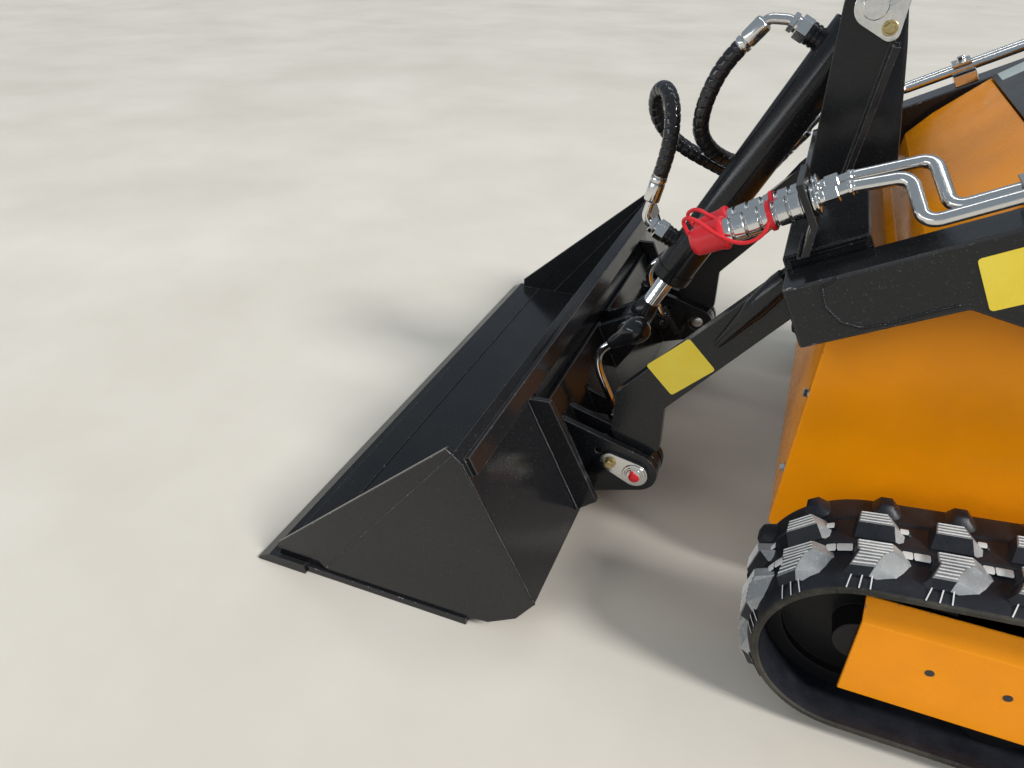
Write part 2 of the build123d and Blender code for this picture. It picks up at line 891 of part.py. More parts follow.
# Body: side walls, floor, sloped nose, deck and rear wall, open under the hood
body_outline = [
    (body_front_low[0] + 25, body_low),
    body_front_low,
    body_front_high,
    cross_clear,
    nose_low,
    nose_crease,
    hood_front,
    hood_bend,
    hood_rear,
    (body_rear, hood_rear[1]),
    (body_rear, body_low),
]
with BuildPart() as body:
    with BuildSketch(side_plane(body_half)) as shell:
        with BuildLine():
            Polyline(*[at(*point) for point in body_outline], close=True)
        make_face()
    extrude(shell.sketch, amount=2 * body_half)
    with BuildSketch(side_plane(body_half - wall)) as hollow:
        with BuildLine():
            Polyline(*[at(*point) for point in body_outline], close=True)
        make_face()
        offset(amount=-wall, kind=Kind.INTERSECTION)
    extrude(hollow.sketch, amount=2 * (body_half - wall), mode=Mode.SUBTRACT)
    plate(
        [
            (hood_front[0] + 4, hood_front[1] - 12),
            (hood_bend[0], hood_bend[1] - 14),
            (hood_rear[0] - 10, hood_rear[1] - 12),
            (hood_rear[0] - 10, hood_rear[1] + 40),
            (hood_front[0] + 4, hood_rear[1] + 40),
        ],
        -body_half + wall,
        body_half - wall,
        Mode.SUBTRACT,
    )
    inside = (-body_half + wall, body_half - wall)
    block(body_front_high[0] + 2, body_rear - wall, *inside, deck_height, deck_height + wall)
    vent = (-grille_half + 12, grille_half - 12)
    block(body_rear - wall, body_rear, *vent, grille_low + 12, grille_high - 12, Mode.SUBTRACT)
    for low, high in both_sides(hinge_side + hinge_long + 2, hinge_side + hinge_long + 20):
        belt_plate(
            [(*hood_hinge, hood_hinge_radius), (hood_hinge[0] + 26, hood_rear[1] - 2, 3)],
            low,
            high,
        )
    for low, high in both_sides(hinge_side - 8, hinge_side + hinge_long + 10):
        drum(hood_hinge, hinge_pin_radius, low, high)
store(body, "body")

# Hood: one folded sheet over the engine, hinged along its rear edge
hood_run = hypot(hood_rear[0] - hood_bend[0], hood_rear[1] - hood_bend[1]) - 14
hood_top = seat_gap + hood_thick
with BuildPart() as hood:
    plate(
        [
            along(hood_front, hood_bend, 6, seat_gap),
            along(hood_bend, hood_rear, 0, seat_gap),
            along(hood_bend, hood_rear, hood_run, seat_gap),
            along(hood_bend, hood_rear, hood_run, hood_top),
            along(hood_bend, hood_rear, -1, hood_top),
            along(hood_front, hood_bend, 6, hood_top),
        ],
        -body_half,
        body_half,
    )
    for low, high in both_sides(hinge_side, hinge_side + hinge_long):
        belt_plate(
            [
                (*hood_hinge, hood_hinge_radius),
                (*along(hood_bend, hood_rear, hood_run - 30, hood_top - 1), 0),
                (*along(hood_bend, hood_rear, hood_run - 2, seat_gap + 1), 0),
            ],
            low,
            high,
        )
    drum(hood_hinge, hinge_pin_radius + pin_play, -body_half, body_half, Mode.SUBTRACT)
store(hood, "hood")

# Engine, one plain block on the deck
with BuildPart() as engine:
    block(engine_front, engine_rear, -engine_half, engine_half, deck_height + wall + seat_gap, engine_top)
store(engine, "engine")

# Radiator behind the rear grille
with BuildPart() as radiator:
    foot = deck_height + wall + seat_gap
    block(radiator_front, radiator_rear, -radiator_half, radiator_half, foot, radiator_top)
store(radiator, "radiator")

# Rear grille with its louvres
louvre_step = (grille_high - grille_low - 60) / (louvre_count - 1)
with BuildPart() as rear_grille:
    block(
        body_rear + seat_gap,
        body_rear + seat_gap + grille_thick,
        -grille_half,
        grille_half,
        grille_low,
        grille_high,
    )
    for index in range(louvre_count):
        middle = grille_low + 30 + index * louvre_step
        block(
            body_rear,
            body_rear + 20,
            -grille_half + 25,
            grille_half - 25,
            middle - louvre_height / 2,
            middle + louvre_height / 2,
            Mode.SUBTRACT,
        )
store(rear_grille, "rear_grille")

# Console for the driver's levers
with BuildPart() as console:
    plate(
        [
            (console_front, hood_rear[1] + seat_gap),
            (console_front + 12, hood_rear[1] + 120),
            console_top,
            console_edge,
            (body_rear, hood_rear[1] + seat_gap),
        ],
        -console_half,
        console_half,
    )
store(console, "console")

# Levers on the console's sloping top
with BuildPart() as levers:
    for side in lever_sides:
        foot, boot, top, knob = (
            place(point[0], side, point[1])
            for point in (along(console_top, console_edge, 105, out) for out in (seat_gap, 20, 92, 108))
        )
        rod(foot, boot, 16)
        rod(boot, top, 6)
        rod(top, knob, 17)
store(levers, "levers")

# Rail round the console for the driver's hands
with BuildPart() as hand_rail:
    rail_side = console_half + rail_tube_radius + seat_gap
    pipe(
        [
            place(1760, rail_side, 960),
            place(1830, rail_side, 1010),
            place(rail_rear, rail_side, rail_height),
            place(rail_rear, -rail_side, rail_height),
            place(1830, -rail_side, 1010),
            place(1760, -rail_side, 960),
        ],
        rail_tube_radius,
        40,
    )
store(hand_rail, "hand_rail")

# Bracket at the body's rear foot with the tube that the step turns on
with BuildPart() as step_bracket:
    for low, high in both_sides(step_half + hinge_gap, step_half + hinge_gap + 10):
        belt_plate(
            [
                (body_rear + seat_gap, 320, 0),
                (*step_hinge, 24),
                (body_rear + seat_gap, 110, 0),
            ],
            low,
            high,
        )
    drum(step_hinge, step_tube_radius, -step_half - 18, step_half + 18)
store(step_bracket, "step_bracket")

# Folding step
with BuildPart() as step:
    block(
        step_hinge[0] + 22,
        step_rear,
        -step_half,
        step_half,
        step_hinge[1] + 8,
        step_hinge[1] + 8 + step_plate,
    )
    for low, high in both_sides(step_half - 6, step_half):
        belt_plate(
            [
                (*step_hinge, step_tube_radius + 10),
                (step_rear - 6, step_hinge[1] + 7, 6),
                (step_rear - 20, step_hinge[1] - 10, 8),
            ],
            low,
            high,
        )
    block(step_rear - 6, step_rear, -step_half, step_half, step_hinge[1] - 20, step_hinge[1] + 8)
    drum(step_hinge, step_tube_radius + rod_play / 2, -step_half, step_half, Mode.SUBTRACT)
store(step, "step")

# Track frames: a pressed yellow beam each side with sloping shoulders, open round the idler
for label, side in (("track_frame_left", 1), ("track_frame_right", -1)):
    with BuildPart() as track_frame:
        with BuildSketch(Plane.YZ.offset(nose - frame_rear)) as beam:
            with BuildLine():
                Polyline(
                    (side * frame_outer_side, frame_low_height),
                    (side * frame_outer_side, frame_bend_height),
                    (side * (frame_outer_side - frame_shoulder), frame_top_height),
                    (side * (frame_inner_side + frame_shoulder), frame_top_height),
                    (side * frame_inner_side, frame_bend_height),
                    (side * frame_inner_side, frame_low_height),
                    (side * (frame_inner_side + frame_wall), frame_low_height),
                    (side * (frame_inner_side + frame_wall), frame_bend_height - 1),
                    (side * (frame_inner_side + frame_shoulder + 3), frame_top_height - frame_wall),
                    (side * (frame_outer_side - frame_shoulder - 3), frame_top_height - frame_wall),
                    (side * (frame_outer_side - frame_wall), frame_bend_height - 1),
                    (side * (frame_outer_side - frame_wall), frame_low_height),
                    close=True,
                )
            make_face()
        extrude(beam.sketch, amount=frame_rear - frame_front)
        for low_station, high_station in (
            (frame_front - 10, frame_slot_end),
            (sprocket_station - sprocket_radius - 22, frame_rear + 10),
        ):
            slot_low = frame_inner_side + frame_shoulder + 3
            slot_high = frame_outer_side - frame_shoulder - 3
            slot = sorted((side * slot_low, side * slot_high))
            slot_heights = (frame_low_height - 10, frame_top_height + 10)
            block(low_station, high_station, *slot, *slot_heights, Mode.SUBTRACT)
        for station in axle_beam_stations:
            beam_sides = sorted((side * (body_half + seat_gap), side * frame_inner_side))
            block(
                station - axle_beam_size / 2,
                station + axle_beam_size / 2,
                *beam_sides,
                axle_beam_height - axle_beam_size / 2,
                axle_beam_height + axle_beam_size / 2,
            )
    store(track_frame, label)

# Wheels inside the tracks: station, height and radius of the belt's inner face round each
belt_rounds = [
    (idler_station, idler_height, idler_radius),
    (sprocket_station, sprocket_height, sprocket_radius),
    (tail_station, tail_height, tail_radius),
]


def grown(rounds, amount):
    """The same wheels with a larger radius."""
    return [(station, height, radius + amount) for station, height, radius in rounds]


def lug_places():
    """Points and outward angles spaced evenly round the belt's outer face, one for each lug."""
    rounds = [(*at(station, height), radius) for station, height, radius in grown(belt_rounds, belt_thick)]
    spans = []
    for (x1, z1, r1), (x2, z2, r2) in zip(rounds, rounds[1:] + rounds[:1]):
        out = atan2(z2 - z1, x2 - x1) - acos((r1 - r2) / hypot(x2 - x1, z2 - z1))
        spans.append((x1 + r1 * cos(out), z1 + r1 * sin(out), x2 + r2 * cos(out), z2 + r2 * sin(out), out))
    pieces = []
    for index, (x1, z1, x2, z2, out) in enumerate(spans):
        x, z, radius = rounds[(index + 1) % len(rounds)]
        turn = (spans[(index + 1) % len(spans)][4] - out) % (2 * pi)
        pieces.append((hypot(x2 - x1, z2 - z1), x1, z1, x2, z2, out, 0, 0, 0, 0))
        pieces.append((radius * turn, x1, z1, x2, z2, out, x, z, radius, turn))
    total = sum(piece[0] for piece in pieces)
    count = round(total / lug_pitch)
    places = []
    for index in range(count):
        run = index * total / count
        for length, x1, z1, x2, z2, out, x, z, radius, turn in pieces:
            if run < length:
                break
            run -= length
        if radius:
            angle = out + turn * run / length
            places.append((x + radius * cos(angle), z + radius * sin(angle), angle))
        else:
            share = run / length
            places.append((x1 + (x2 - x1) * share, z1 + (z2 - z1) * share, out))
    return places


# Tracks: one loop each with its lugs
for label, side in (("track_left", 1), ("track_right", -1)):
    low, high = sorted((side * track_inner, side * track_outer))
    with BuildPart() as track:
        extrude(wrapped(side_plane(high), grown(belt_rounds, belt_thick)), amount=high - low)
        extrude(wrapped(side_plane(high), belt_rounds), amount=high - low, mode=Mode.SUBTRACT)
        for band in lug_bands:
            band_low, band_high = sorted((side * band[0], side * band[1]))
            with BuildSketch(side_plane(band_high)) as lugs:
                for x, z, out in lug_places():
                    with Locations(Location((x, z), degrees(out))):
                        Polygon(
                            (-3, -lug_base / 2),
                            (lug_height, -lug_tip / 2),
                            (lug_height, lug_tip / 2),
                            (-3, lug_base / 2),
                            align=None,
                        )
            extrude(lugs.sketch, amount=band_high - band_low)
        block(idler_station - 200, sprocket_station + 200, low - 1, high + 1, -20, 0, Mode.SUBTRACT)
    store(track, label)

# Idlers at the front of the tracks
with BuildPart() as idlers:
    for side in (1, -1):
        low, high = sorted((side * idler_inner_side, side * idler_outer_side))
        hub_low, hub_high = sorted((side * hub_inner_side, side * hub_outer_side))
        centre = (idler_station, idler_height)
        drum(centre, idler_radius - seat_gap, low, high)
        for groove_low, groove_high in ((low, low + 12), (high - 12, high)):
            drum(centre, idler_radius - 22, groove_low, groove_high, Mode.SUBTRACT)
        drum(centre, idler_hub_radius, hub_low, hub_high)
store(idlers, "idlers")

# Rollers under the track frames and the tail roller behind them
with BuildPart() as rollers:
    for side in (1, -1):
        low, high = sorted((side * wheel_inner_side, side * wheel_outer_side))
        hub_low, hub_high = sorted((side * hub_inner_side, side * hub_outer_side))
        for index in range(roller_count):
            centre = (roller_first + index * roller_step, belt_height + roller_radius)
            drum(centre, roller_radius - seat_gap, low, high)
            drum(centre, 14, hub_low, hub_high)
        drum((tail_station, tail_height), tail_radius - seat_gap, low, high)
        drum((tail_station, tail_height), 14, hub_low, hub_high)
store(rollers, "rollers")

# Drive sprockets with their motors on the body's sides
with BuildPart() as sprockets:
    for side in (1, -1):
        low, high = sorted((side * (wheel_inner_side + 20), side * (wheel_outer_side - 20)))
        hub_low, hub_high = sorted((side * (body_half + seat_gap), side * (wheel_outer_side - 5)))
        centre = (sprocket_station, sprocket_height)
        drum(centre, sprocket_radius - 24, low, high)
        with BuildSketch(side_plane(high)) as teeth:
            with Locations(at(*centre)):
                with PolarLocations(sprocket_radius - 26, tooth_count):
                    Polygon((-2, -15), (25.7, -7), (25.7, 7), (-2, 15), align=None)
        extrude(teeth.sketch, amount=high - low)
        drum(centre, 55, hub_low, hub_high)
store(sprockets, "sprockets")

# Plate on the left arm that holds the couplers
coupler_turn = radians(coupler_slope)


def on_coupler(run, side, out=0.0):
    """A point in space along a coupler, forward of its bulkhead plate."""
    return place(
        coupler_rear[0] - run * cos(coupler_turn) - out * sin(coupler_turn),
        side,
        coupler_rear[1] - run * sin(coupler_turn) + out * cos(coupler_turn),
    )


plate_side = (coupler_sides[0] - 24, coupler_sides[1] + 24)


def coupler_view(run, out):
    """A point of the side view along a coupler."""
    x, side, z = on_coupler(run, 0, out)
    return (nose - x, z)


with BuildPart() as coupler_plate:
    plate(
        [
            coupler_view(0, -24),
            coupler_view(0, 28),
            coupler_view(-coupler_plate_thick, 28),
            coupler_view(-coupler_plate_thick, -24),
            on_arm(32, cross_top + seat_gap),
            on_arm(22, cross_top + seat_gap),
        ],
        *plate_side,
    )
    for side in coupler_sides:
        rod(on_coupler(60, side), on_coupler(-60, side), 11 + seat_gap, Mode.SUBTRACT)
store(coupler_plate, "coupler_plate")

# Couplers through the plate, with nuts both sides
with BuildPart() as couplers:
    for side in coupler_sides:
        rod(on_coupler(coupler_length, side), on_coupler(seat_gap, side), coupler_radius)
        rod(on_coupler(seat_gap, side), on_coupler(-24, side), 11)
        rod(on_coupler(-coupler_plate_thick - seat_gap, side), on_coupler(-24, side), nut_radius)
store(couplers, "couplers")

# Dust caps on the couplers
with BuildPart() as coupler_caps:
    for side in coupler_sides:
        cap_end = on_coupler(coupler_length + cap_length, side)
        rod(on_coupler(coupler_length + seat_gap, side), cap_end, cap_radius - 4)
store(coupler_caps, "coupler_caps")

# Steel tubes along the arms: from the couplers on the left
with BuildPart() as arm_tubes:
    for inner, outer, (high_run, low_run) in (
        (coupler_sides[0], tube_sides[0], tube_left_runs[0]),
        (coupler_sides[1], tube_sides[1], tube_left_runs[1]),
    ):
        high = on_arm(high_run, 63)
        low_point = on_arm(low_run, tube_lift)
        end = on_arm(tube_end_run, tube_lift)
        pipe(
            [
                on_coupler(-24 - seat_gap, inner),
                on_coupler(-50, inner),
                place(high[0], inner, high[1]),
                place(low_point[0], outer, low_point[1]),
                place(end[0], outer, end[1]),
            ],
            steel_tube_radius,
            16,
        )
    # On the right arm the tubes come down to the hoses of the tilt cylinder
    for inner, outer, (high_run, low_run) in (
        (ferrule_sides[0], -tube_sides[0], tube_right_runs[0]),
        (ferrule_sides[1], -tube_sides[1], tube_right_runs[1]),
    ):
        start = place(ferrule_low[0], inner, ferrule_low[1])
        knee = along(ferrule_low, ferrule_high, 96)
        high = on_arm(high_run, 51)
        low_point = on_arm(low_run, tube_lift)
        end = on_arm(tube_end_run, tube_lift)
        pipe(
            [
                start,
                place(knee[0], inner, knee[1]),
                place(high[0], inner, high[1]),
                place(low_point[0], outer, low_point[1]),
                place(end[0], outer, end[1]),
            ],
            steel_tube_radius,
            13,
        )
        rod(start, place(ferrule_high[0], inner, ferrule_high[1]), ferrule_radius)
store(arm_tubes, "arm_tubes")

# Clamps that hold the tubes on the arms' top edges
with BuildPart() as tube_clamps:
    for low, high in both_sides(tube_sides[0] - 13, tube_sides[1] + 13):
        for run in (230, 620, 1010):
            plate(
                [
                    on_arm(run, seat_gap),
                    on_arm(run + 34, seat_gap),
                    on_arm(run + 34, tube_lift - steel_tube_radius - seat_gap),
                    on_arm(run, tube_lift - steel_tube_radius - seat_gap),
                ],
                low,
                high,
            )
store(tube_clamps, "tube_clamps")

# Free hoses: station, side and height of each point from the cylinder's elbow to the right arm
hose_routes = {
    "hose_top": [
        (560.0, 0.0, 714.0),
        (543.5, 0.0, 693.9),
        (527.9, -2.0, 659.3),
        (518.2, -6.3, 622.4),
        (517.3, -16.8, 586.1),
        (534.1, -36.1, 557.9),
        (555.7, -61.4, 539.0),
        (576.5, -91.1, 526.5),
        (593.3, -123.7, 515.2),
        (603.0, -158.5, 502.5),
        (602.5, -194.0, 488.2),
        (600.0, -229.3, 473.5),
        (607.5, -265.5, 465.1),
        (624.5, -292.0, 482.4),
        (639.0, -292.0, 504.0),
    ],
    "hose_low": [
        (467.0, 0.0, 519.0),
        (472.8, 0.0, 544.4),
        (477.2, -2.9, 585.5),
        (472.1, -14.3, 624.9),
        (453.2, -42.9, 645.0),
        (432.4, -74.7, 631.1),
        (429.9, -91.9, 594.3),
        (451.4, -101.8, 560.7),
        (484.7, -108.8, 537.0),
        (520.9, -118.1, 518.7),
        (552.9, -136.9, 500.2),
        (574.8, -165.8, 480.5),
        (582.7, -201.7, 461.2),
        (585.2, -238.9, 442.8),
        (590.7, -278.3, 432.1),
        (604.6, -312.1, 449.5),
        (624.5, -326.0, 482.4),
        (639.0, -326.0, 504.0),
    ],
}
for label, points in hose_routes.items():
    spots = [Vector(*place(*point)) for point in points]
    spots[0] += (spots[1] - spots[0]).normalized() * seat_gap
    spots[-1] += (spots[-2] - spots[-1]).normalized() * seat_gap
    bends = []
    for before, corner, after in zip(spots, spots[1:], spots[2:]):
        turn = radians((corner - before).get_angle(after - corner))
        run = min((corner - before).length, (after - corner).length)
        bends.append(0.45 * run / tan(turn / 2))
    with BuildPart() as hose:
        with BuildLine() as route:
            FilletPolyline(*spots, radius=bends)
        with BuildSketch(Plane(origin=route.line @ 0, z_dir=route.line % 0)):
            Circle(hose_radius)
        sweep()
    print(label, "length", round(route.wire().length), "radii", [round(bend) for bend in bends])
    section = pi * hose_radius**2
    print(label, "volume", round(hose.part.volume), "of", round(section * route.wire().length))
    store(hose, label)
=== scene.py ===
# %% [markdown]
# # Looks of a mini track loader
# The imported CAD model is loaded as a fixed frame: its named pieces already stand where they belong, in
# metres, with +X forward to the bucket, +Y to the machine's left and +Z up. This script only adds what a
# camera sees: rounded edges, welds, screws, hoses, tread, paint and dust.

# %% Load the frame
from contextlib import contextmanager
from math import acos, atan2, cos, hypot, pi, radians, sin

import bmesh
import bpy
from mathutils import Euler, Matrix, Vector


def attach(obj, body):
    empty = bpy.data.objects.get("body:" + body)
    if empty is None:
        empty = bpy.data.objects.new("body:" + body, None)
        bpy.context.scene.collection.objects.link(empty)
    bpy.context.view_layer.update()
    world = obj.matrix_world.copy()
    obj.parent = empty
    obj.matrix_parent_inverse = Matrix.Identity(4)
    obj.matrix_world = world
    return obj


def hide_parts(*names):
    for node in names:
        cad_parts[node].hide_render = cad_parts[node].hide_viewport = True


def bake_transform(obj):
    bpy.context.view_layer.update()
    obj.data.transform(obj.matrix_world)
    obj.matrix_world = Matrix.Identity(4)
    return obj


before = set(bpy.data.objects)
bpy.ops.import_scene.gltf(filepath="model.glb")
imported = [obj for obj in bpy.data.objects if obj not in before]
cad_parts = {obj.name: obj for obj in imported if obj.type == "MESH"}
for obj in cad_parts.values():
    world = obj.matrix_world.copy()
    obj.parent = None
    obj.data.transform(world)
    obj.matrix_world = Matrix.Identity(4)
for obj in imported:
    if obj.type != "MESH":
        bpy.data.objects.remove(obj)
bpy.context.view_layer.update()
print("nodes", len(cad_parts))

# %% [markdown]
# Sizes below are millimetres, as a fitter would read them from the drawing: a station is how far a point
# lies behind the cutting edge, a side is positive to the machine's left, and a height starts at the
# ground. One helper turns them into Blender's metres, and the others follow the lift arm, the tilt
# cylinder and the bucket.

# %% Places on the machine
FRONT = 1140.0
ARM_NOSE = (685.0, 523.0)
ARM_SLOPE = radians(26.8)
TILT_TOP = (722.0, 778.0)
TILT_EYE = (452.0, 250.0)
BACK_HIGH = (360.0, 296.0)
BACK_LOW = (463.0, 81.0)
FOOT_PIN = (534.0, 147.0)


def spot(station, side, height):
    """A place on the machine, in Blender's metres."""
    return Vector(((FRONT - station) / 1000, side / 1000, height / 1000))


def along(start, end, run, out=0.0):
    """The side view point at a run from start towards end, moved out to the left of that way."""
    length = hypot(end[0] - start[0], end[1] - start[1])
    ahead, up = (end[0] - start[0]) / length, (end[1] - start[1]) / length
    return (start[0] + ahead * run - up * out, start[1] + up * run + ahead * out)


def on_arm(run, out):
    """A side view point measured along the lift arm's top edge, and square to it."""
    return along(ARM_NOSE, (ARM_NOSE[0] + cos(ARM_SLOPE), ARM_NOSE[1] + sin(ARM_SLOPE)), run, out)


def beside(point, side):
    """A side view point, moved to a side."""
    return spot(point[0], side, point[1])


def arm_spot(run, out, side):
    """A place in space measured on the lift arm."""
    return beside(on_arm(run, out), side)


def on_tilt(run, out=0.0):
    """A place along the tilt cylinder from its top pin, and out to its front."""
    return beside(along(TILT_TOP, TILT_EYE, run, -out), 0.0)


def on_back(run, out, side):
    """A place down the bucket's back from its top edge, and out behind it."""
    return beside(along(BACK_HIGH, BACK_LOW, run, out), side)


# %% [markdown]
# ## Camera
# The camera stands on the machine's left, ahead of the tracks, and looks down over the bucket. A 26 mm
# lens is a phone's wide lens, which is why the near side plate looks so large.

# %% Camera


def linked(name, data):
    """A new object in the scene."""
    made = bpy.data.objects.new(name, data)
    bpy.context.collection.objects.link(made)
    return made


camera_data = bpy.data.cameras.new("camera")
camera_data.lens = 26.016
camera_data.sensor_width = 36.0
camera_data.clip_start = 0.05
camera = linked("camera", camera_data)
camera.location = (0.45525, 1.18801, 0.87298)
camera.rotation_euler = Euler((radians(57.507), radians(-0.454), radians(-158.098)))
bpy.context.scene.camera = camera
bpy.context.scene.view_settings.view_transform = "Standard"

# %% [markdown]
# ## Light
# Soft studio light: a wide sun high behind the machine, so that shadows fall forward past the bucket and
# the floor is lit evenly. Two weaker ones fill in from the camera's side and the front, and a pale
# surround lifts what is left in shade. Two narrow strips draw long highlights along barrels and tubes.
# The surround is dimmer where it shows in gloss, so that black paint stays deep, and its colour turns
# warmer where the camera looks at it.

# %% Node helpers


def placed(tree, kind, values, settings):
    """A node with its settings, and its inputs set to values or joined to sockets."""
    made = tree.nodes.new(kind)
    for name, value in settings.items():
        setattr(made, name, value)
    for name, value in (values or {}).items():
        if isinstance(value, bpy.types.NodeSocket):
            tree.links.new(value, made.inputs[name])
        else:
            made.inputs[name].default_value = value
    return made


def add(tree, kind, values=None, **settings):
    """A shader node."""
    return placed(tree, "ShaderNode" + kind, values, settings)


# %% Lamps and surround


def lamp(name, kind, place, aim, power, mirrored, **settings):
    """A lamp that points at a place, and shows in glossy surfaces or not."""
    data = bpy.data.lights.new(name, kind)
    data.energy = power
    for setting, value in settings.items():
        setattr(data, setting, value)
    made = linked(name, data)
    made.location = place
    made.rotation_euler = (Vector(aim) - Vector(place)).to_track_quat("-Z", "Y").to_euler()
    made.visible_glossy = mirrored
    made.visible_camera = False


lamp("sun", "SUN", (-5.6, 1.4, 4.9), (0.3, 0, 0.2), 3.5, True, angle=radians(13))
lamp("fill", "SUN", (3.2, 7.0, 5.2), (0.2, 0, 0.3), 1.0, False, angle=radians(31))
lamp("front fill", "SUN", (7.0, -1.4, 4.4), (0.2, 0, 0.3), 0.27, False, angle=radians(27))
narrow = {"shape": "RECTANGLE", "size": 3.2, "size_y": 0.3}
lamp("overhead strip", "AREA", (0.2, -0.7, 3.4), (0.2, -0.2, 0.5), 18, True, **narrow)
lamp("front strip", "AREA", (3.2, 2.2, 1.0), (0.5, 0.1, 0.5), 14, True, **narrow)
world = bpy.data.worlds.new("studio")
bpy.context.scene.world = world
world.use_nodes = True
sky = world.node_tree
sky.nodes.clear()
rays = add(sky, "LightPath").outputs
looks = {0: rays["Is Camera Ray"], 1: rays["Is Transmission Ray"]}
seen = add(sky, "Math", looks, operation="MAXIMUM").outputs[0]
dull = add(sky, "MapRange", {"Value": rays["Is Glossy Ray"], "To Min": 0.55, "To Max": 0.34}).outputs[0]
level = add(sky, "MapRange", {"Value": seen, "To Min": dull, "To Max": 0.55}).outputs[0]
tints = {0: seen, 6: (0.76, 0.88, 1.0, 1), 7: (1.0, 0.97, 0.92, 1)}
air = add(sky, "Mix", tints, data_type="RGBA").outputs[2]
surround = add(sky, "Background", {"Color": air, "Strength": level})
sky.links.new(surround.outputs[0], add(sky, "OutputWorld").inputs["Surface"])

# %% [markdown]
# ## Materials
# Every finish is built from noise in Object coordinates, so that it sits on the steel like real dust. The
# small helpers name what each texture is for: clouds of dust, orange peel in the paint, fine specks.

# %% Material helpers


def material(name):
    """An empty material with a Principled shader, and the Object coordinates it reads."""
    made = bpy.data.materials.new(name)
    made.use_nodes = True
    tree = made.node_tree
    tree.nodes.clear()
    shader = add(tree, "BsdfPrincipled")
    tree.links.new(shader.outputs[0], add(tree, "OutputMaterial").inputs["Surface"])
    return made, tree, shader.inputs, add(tree, "TexCoord").outputs["Object"]


def noise(tree, where, scale, detail, rough=0.5):
    """A cloud pattern, 0 to 1."""
    values = {"Vector": where, "Scale": scale, "Detail": detail, "Roughness": rough}
    return add(tree, "TexNoise", values).outputs[0]


def between(tree, value, low, high, start=0.0, end=1.0):
    """A value stretched from one range to another, and held at its ends."""
    values = {"Value": value, "From Min": low, "From Max": high, "To Min": start, "To Max": end}
    return add(tree, "MapRange", values).outputs[0]


def reckon(tree, operation, first, second):
    """Two values added, multiplied or compared."""
    return add(tree, "Math", {0: first, 1: second}, operation=operation).outputs[0]


def opaque(colour, share=1.0):
    """A colour's four parts, darkened to a share."""
    return (*(part * share for part in colour), 1)


def tinted(tree, share, first, second):
    """A colour between two others."""
    return add(tree, "Mix", {0: share, 6: first, 7: second}, data_type="RGBA").outputs[2]


def raised(tree, height, distance, strength, below=None):
    """A bump of a real height in metres, on top of another."""
    values = {"Height": height, "Distance": distance, "Strength": strength}
    if below is not None:
        values["Normal"] = below
    return add(tree, "Bump", values).outputs[0]


def facing_up(tree):
    """How far the surface looks up, where dust comes to lie."""
    normal = add(tree, "NewGeometry").outputs["Normal"]
    return between(tree, add(tree, "SeparateXYZ", {0: normal}).outputs["Z"], 0.2, 0.95)


# %% [markdown]
# Sprayed paint is a smooth skin with orange peel in it. A yard's dust lies on it as a thin film, thicker
# where the steel looks up, with single grains in it, and worn edges show the primer.

# %% Paint
DUST = (0.30, 0.275, 0.235)
PRIMER = (0.17, 0.165, 0.16)


def paint(name, colour, rough, dust, chips=0.0, peel=0.6, gleam=0.34):
    """Sprayed paint with orange peel, a film of dust, and chips to the primer where it is worn."""
    made, tree, shader, where = material(name)
    film = between(tree, noise(tree, where, 4.5, 6, 0.62), 0.40, 0.74, dust * 0.2, dust)
    settled = reckon(tree, "MULTIPLY", film, between(tree, facing_up(tree), 0.0, 1.0, 0.35, 1.0))
    grains = between(tree, noise(tree, where, 430, 1.5), 0.655, 0.73, 0.0, min(0.6, dust * 2.4))
    dirt = reckon(tree, "ADD", settled, grains)
    tone = between(tree, noise(tree, where, 9, 3), 0.3, 0.7)
    base = tinted(tree, tone, opaque(colour), opaque(colour, 0.86))
    if chips:
        loss = between(tree, noise(tree, where, 95, 4, 0.7), 0.66 - chips, 0.70 - chips)
        base = tinted(tree, loss, base, opaque(PRIMER))
    tree.links.new(tinted(tree, dirt, base, opaque(DUST)), shader["Base Color"])
    gloss = between(tree, noise(tree, where, 22, 4, 0.7), 0.3, 0.75, rough * 0.8, rough * 1.3)
    tree.links.new(reckon(tree, "ADD", gloss, dirt), shader["Roughness"])
    skin = raised(tree, noise(tree, where, 330, 2), 0.00012, peel)
    tree.links.new(raised(tree, noise(tree, where, 28, 2), 0.0006, peel * 0.6, skin), shader["Normal"])
    shader["Specular IOR Level"].default_value = gleam
    shader["Coat Weight"].default_value = gleam * 0.3
    shader["Coat Roughness"].default_value = 0.1
    return made


# %% [markdown]
# Plated steel, rubber and plastic each get a helper of their own: metal has a cloudy skin with faint
# stains, a moulding has a fine grain and a haze of wear.

# %% Metal, rubber and plastic
STAIN = (0.20, 0.17, 0.12)


def metal(name, colour, rough, spots, grain=180.0):
    """Plated or bare steel with a cloudy skin and faint stains."""
    made, tree, shader, where = material(name)
    stain = between(tree, noise(tree, where, 60, 5, 0.65), 0.45, 0.75, 0.0, spots)
    tree.links.new(tinted(tree, stain, opaque(colour), opaque(STAIN)), shader["Base Color"])
    skin = between(tree, noise(tree, where, grain, 3), 0.3, 0.7, rough * 0.75, rough * 1.4)
    tree.links.new(reckon(tree, "ADD", skin, stain), shader["Roughness"])
    tree.links.new(raised(tree, noise(tree, where, grain * 3, 2), 0.00008, 0.5), shader["Normal"])
    shader["Metallic"].default_value = 1.0
    return made


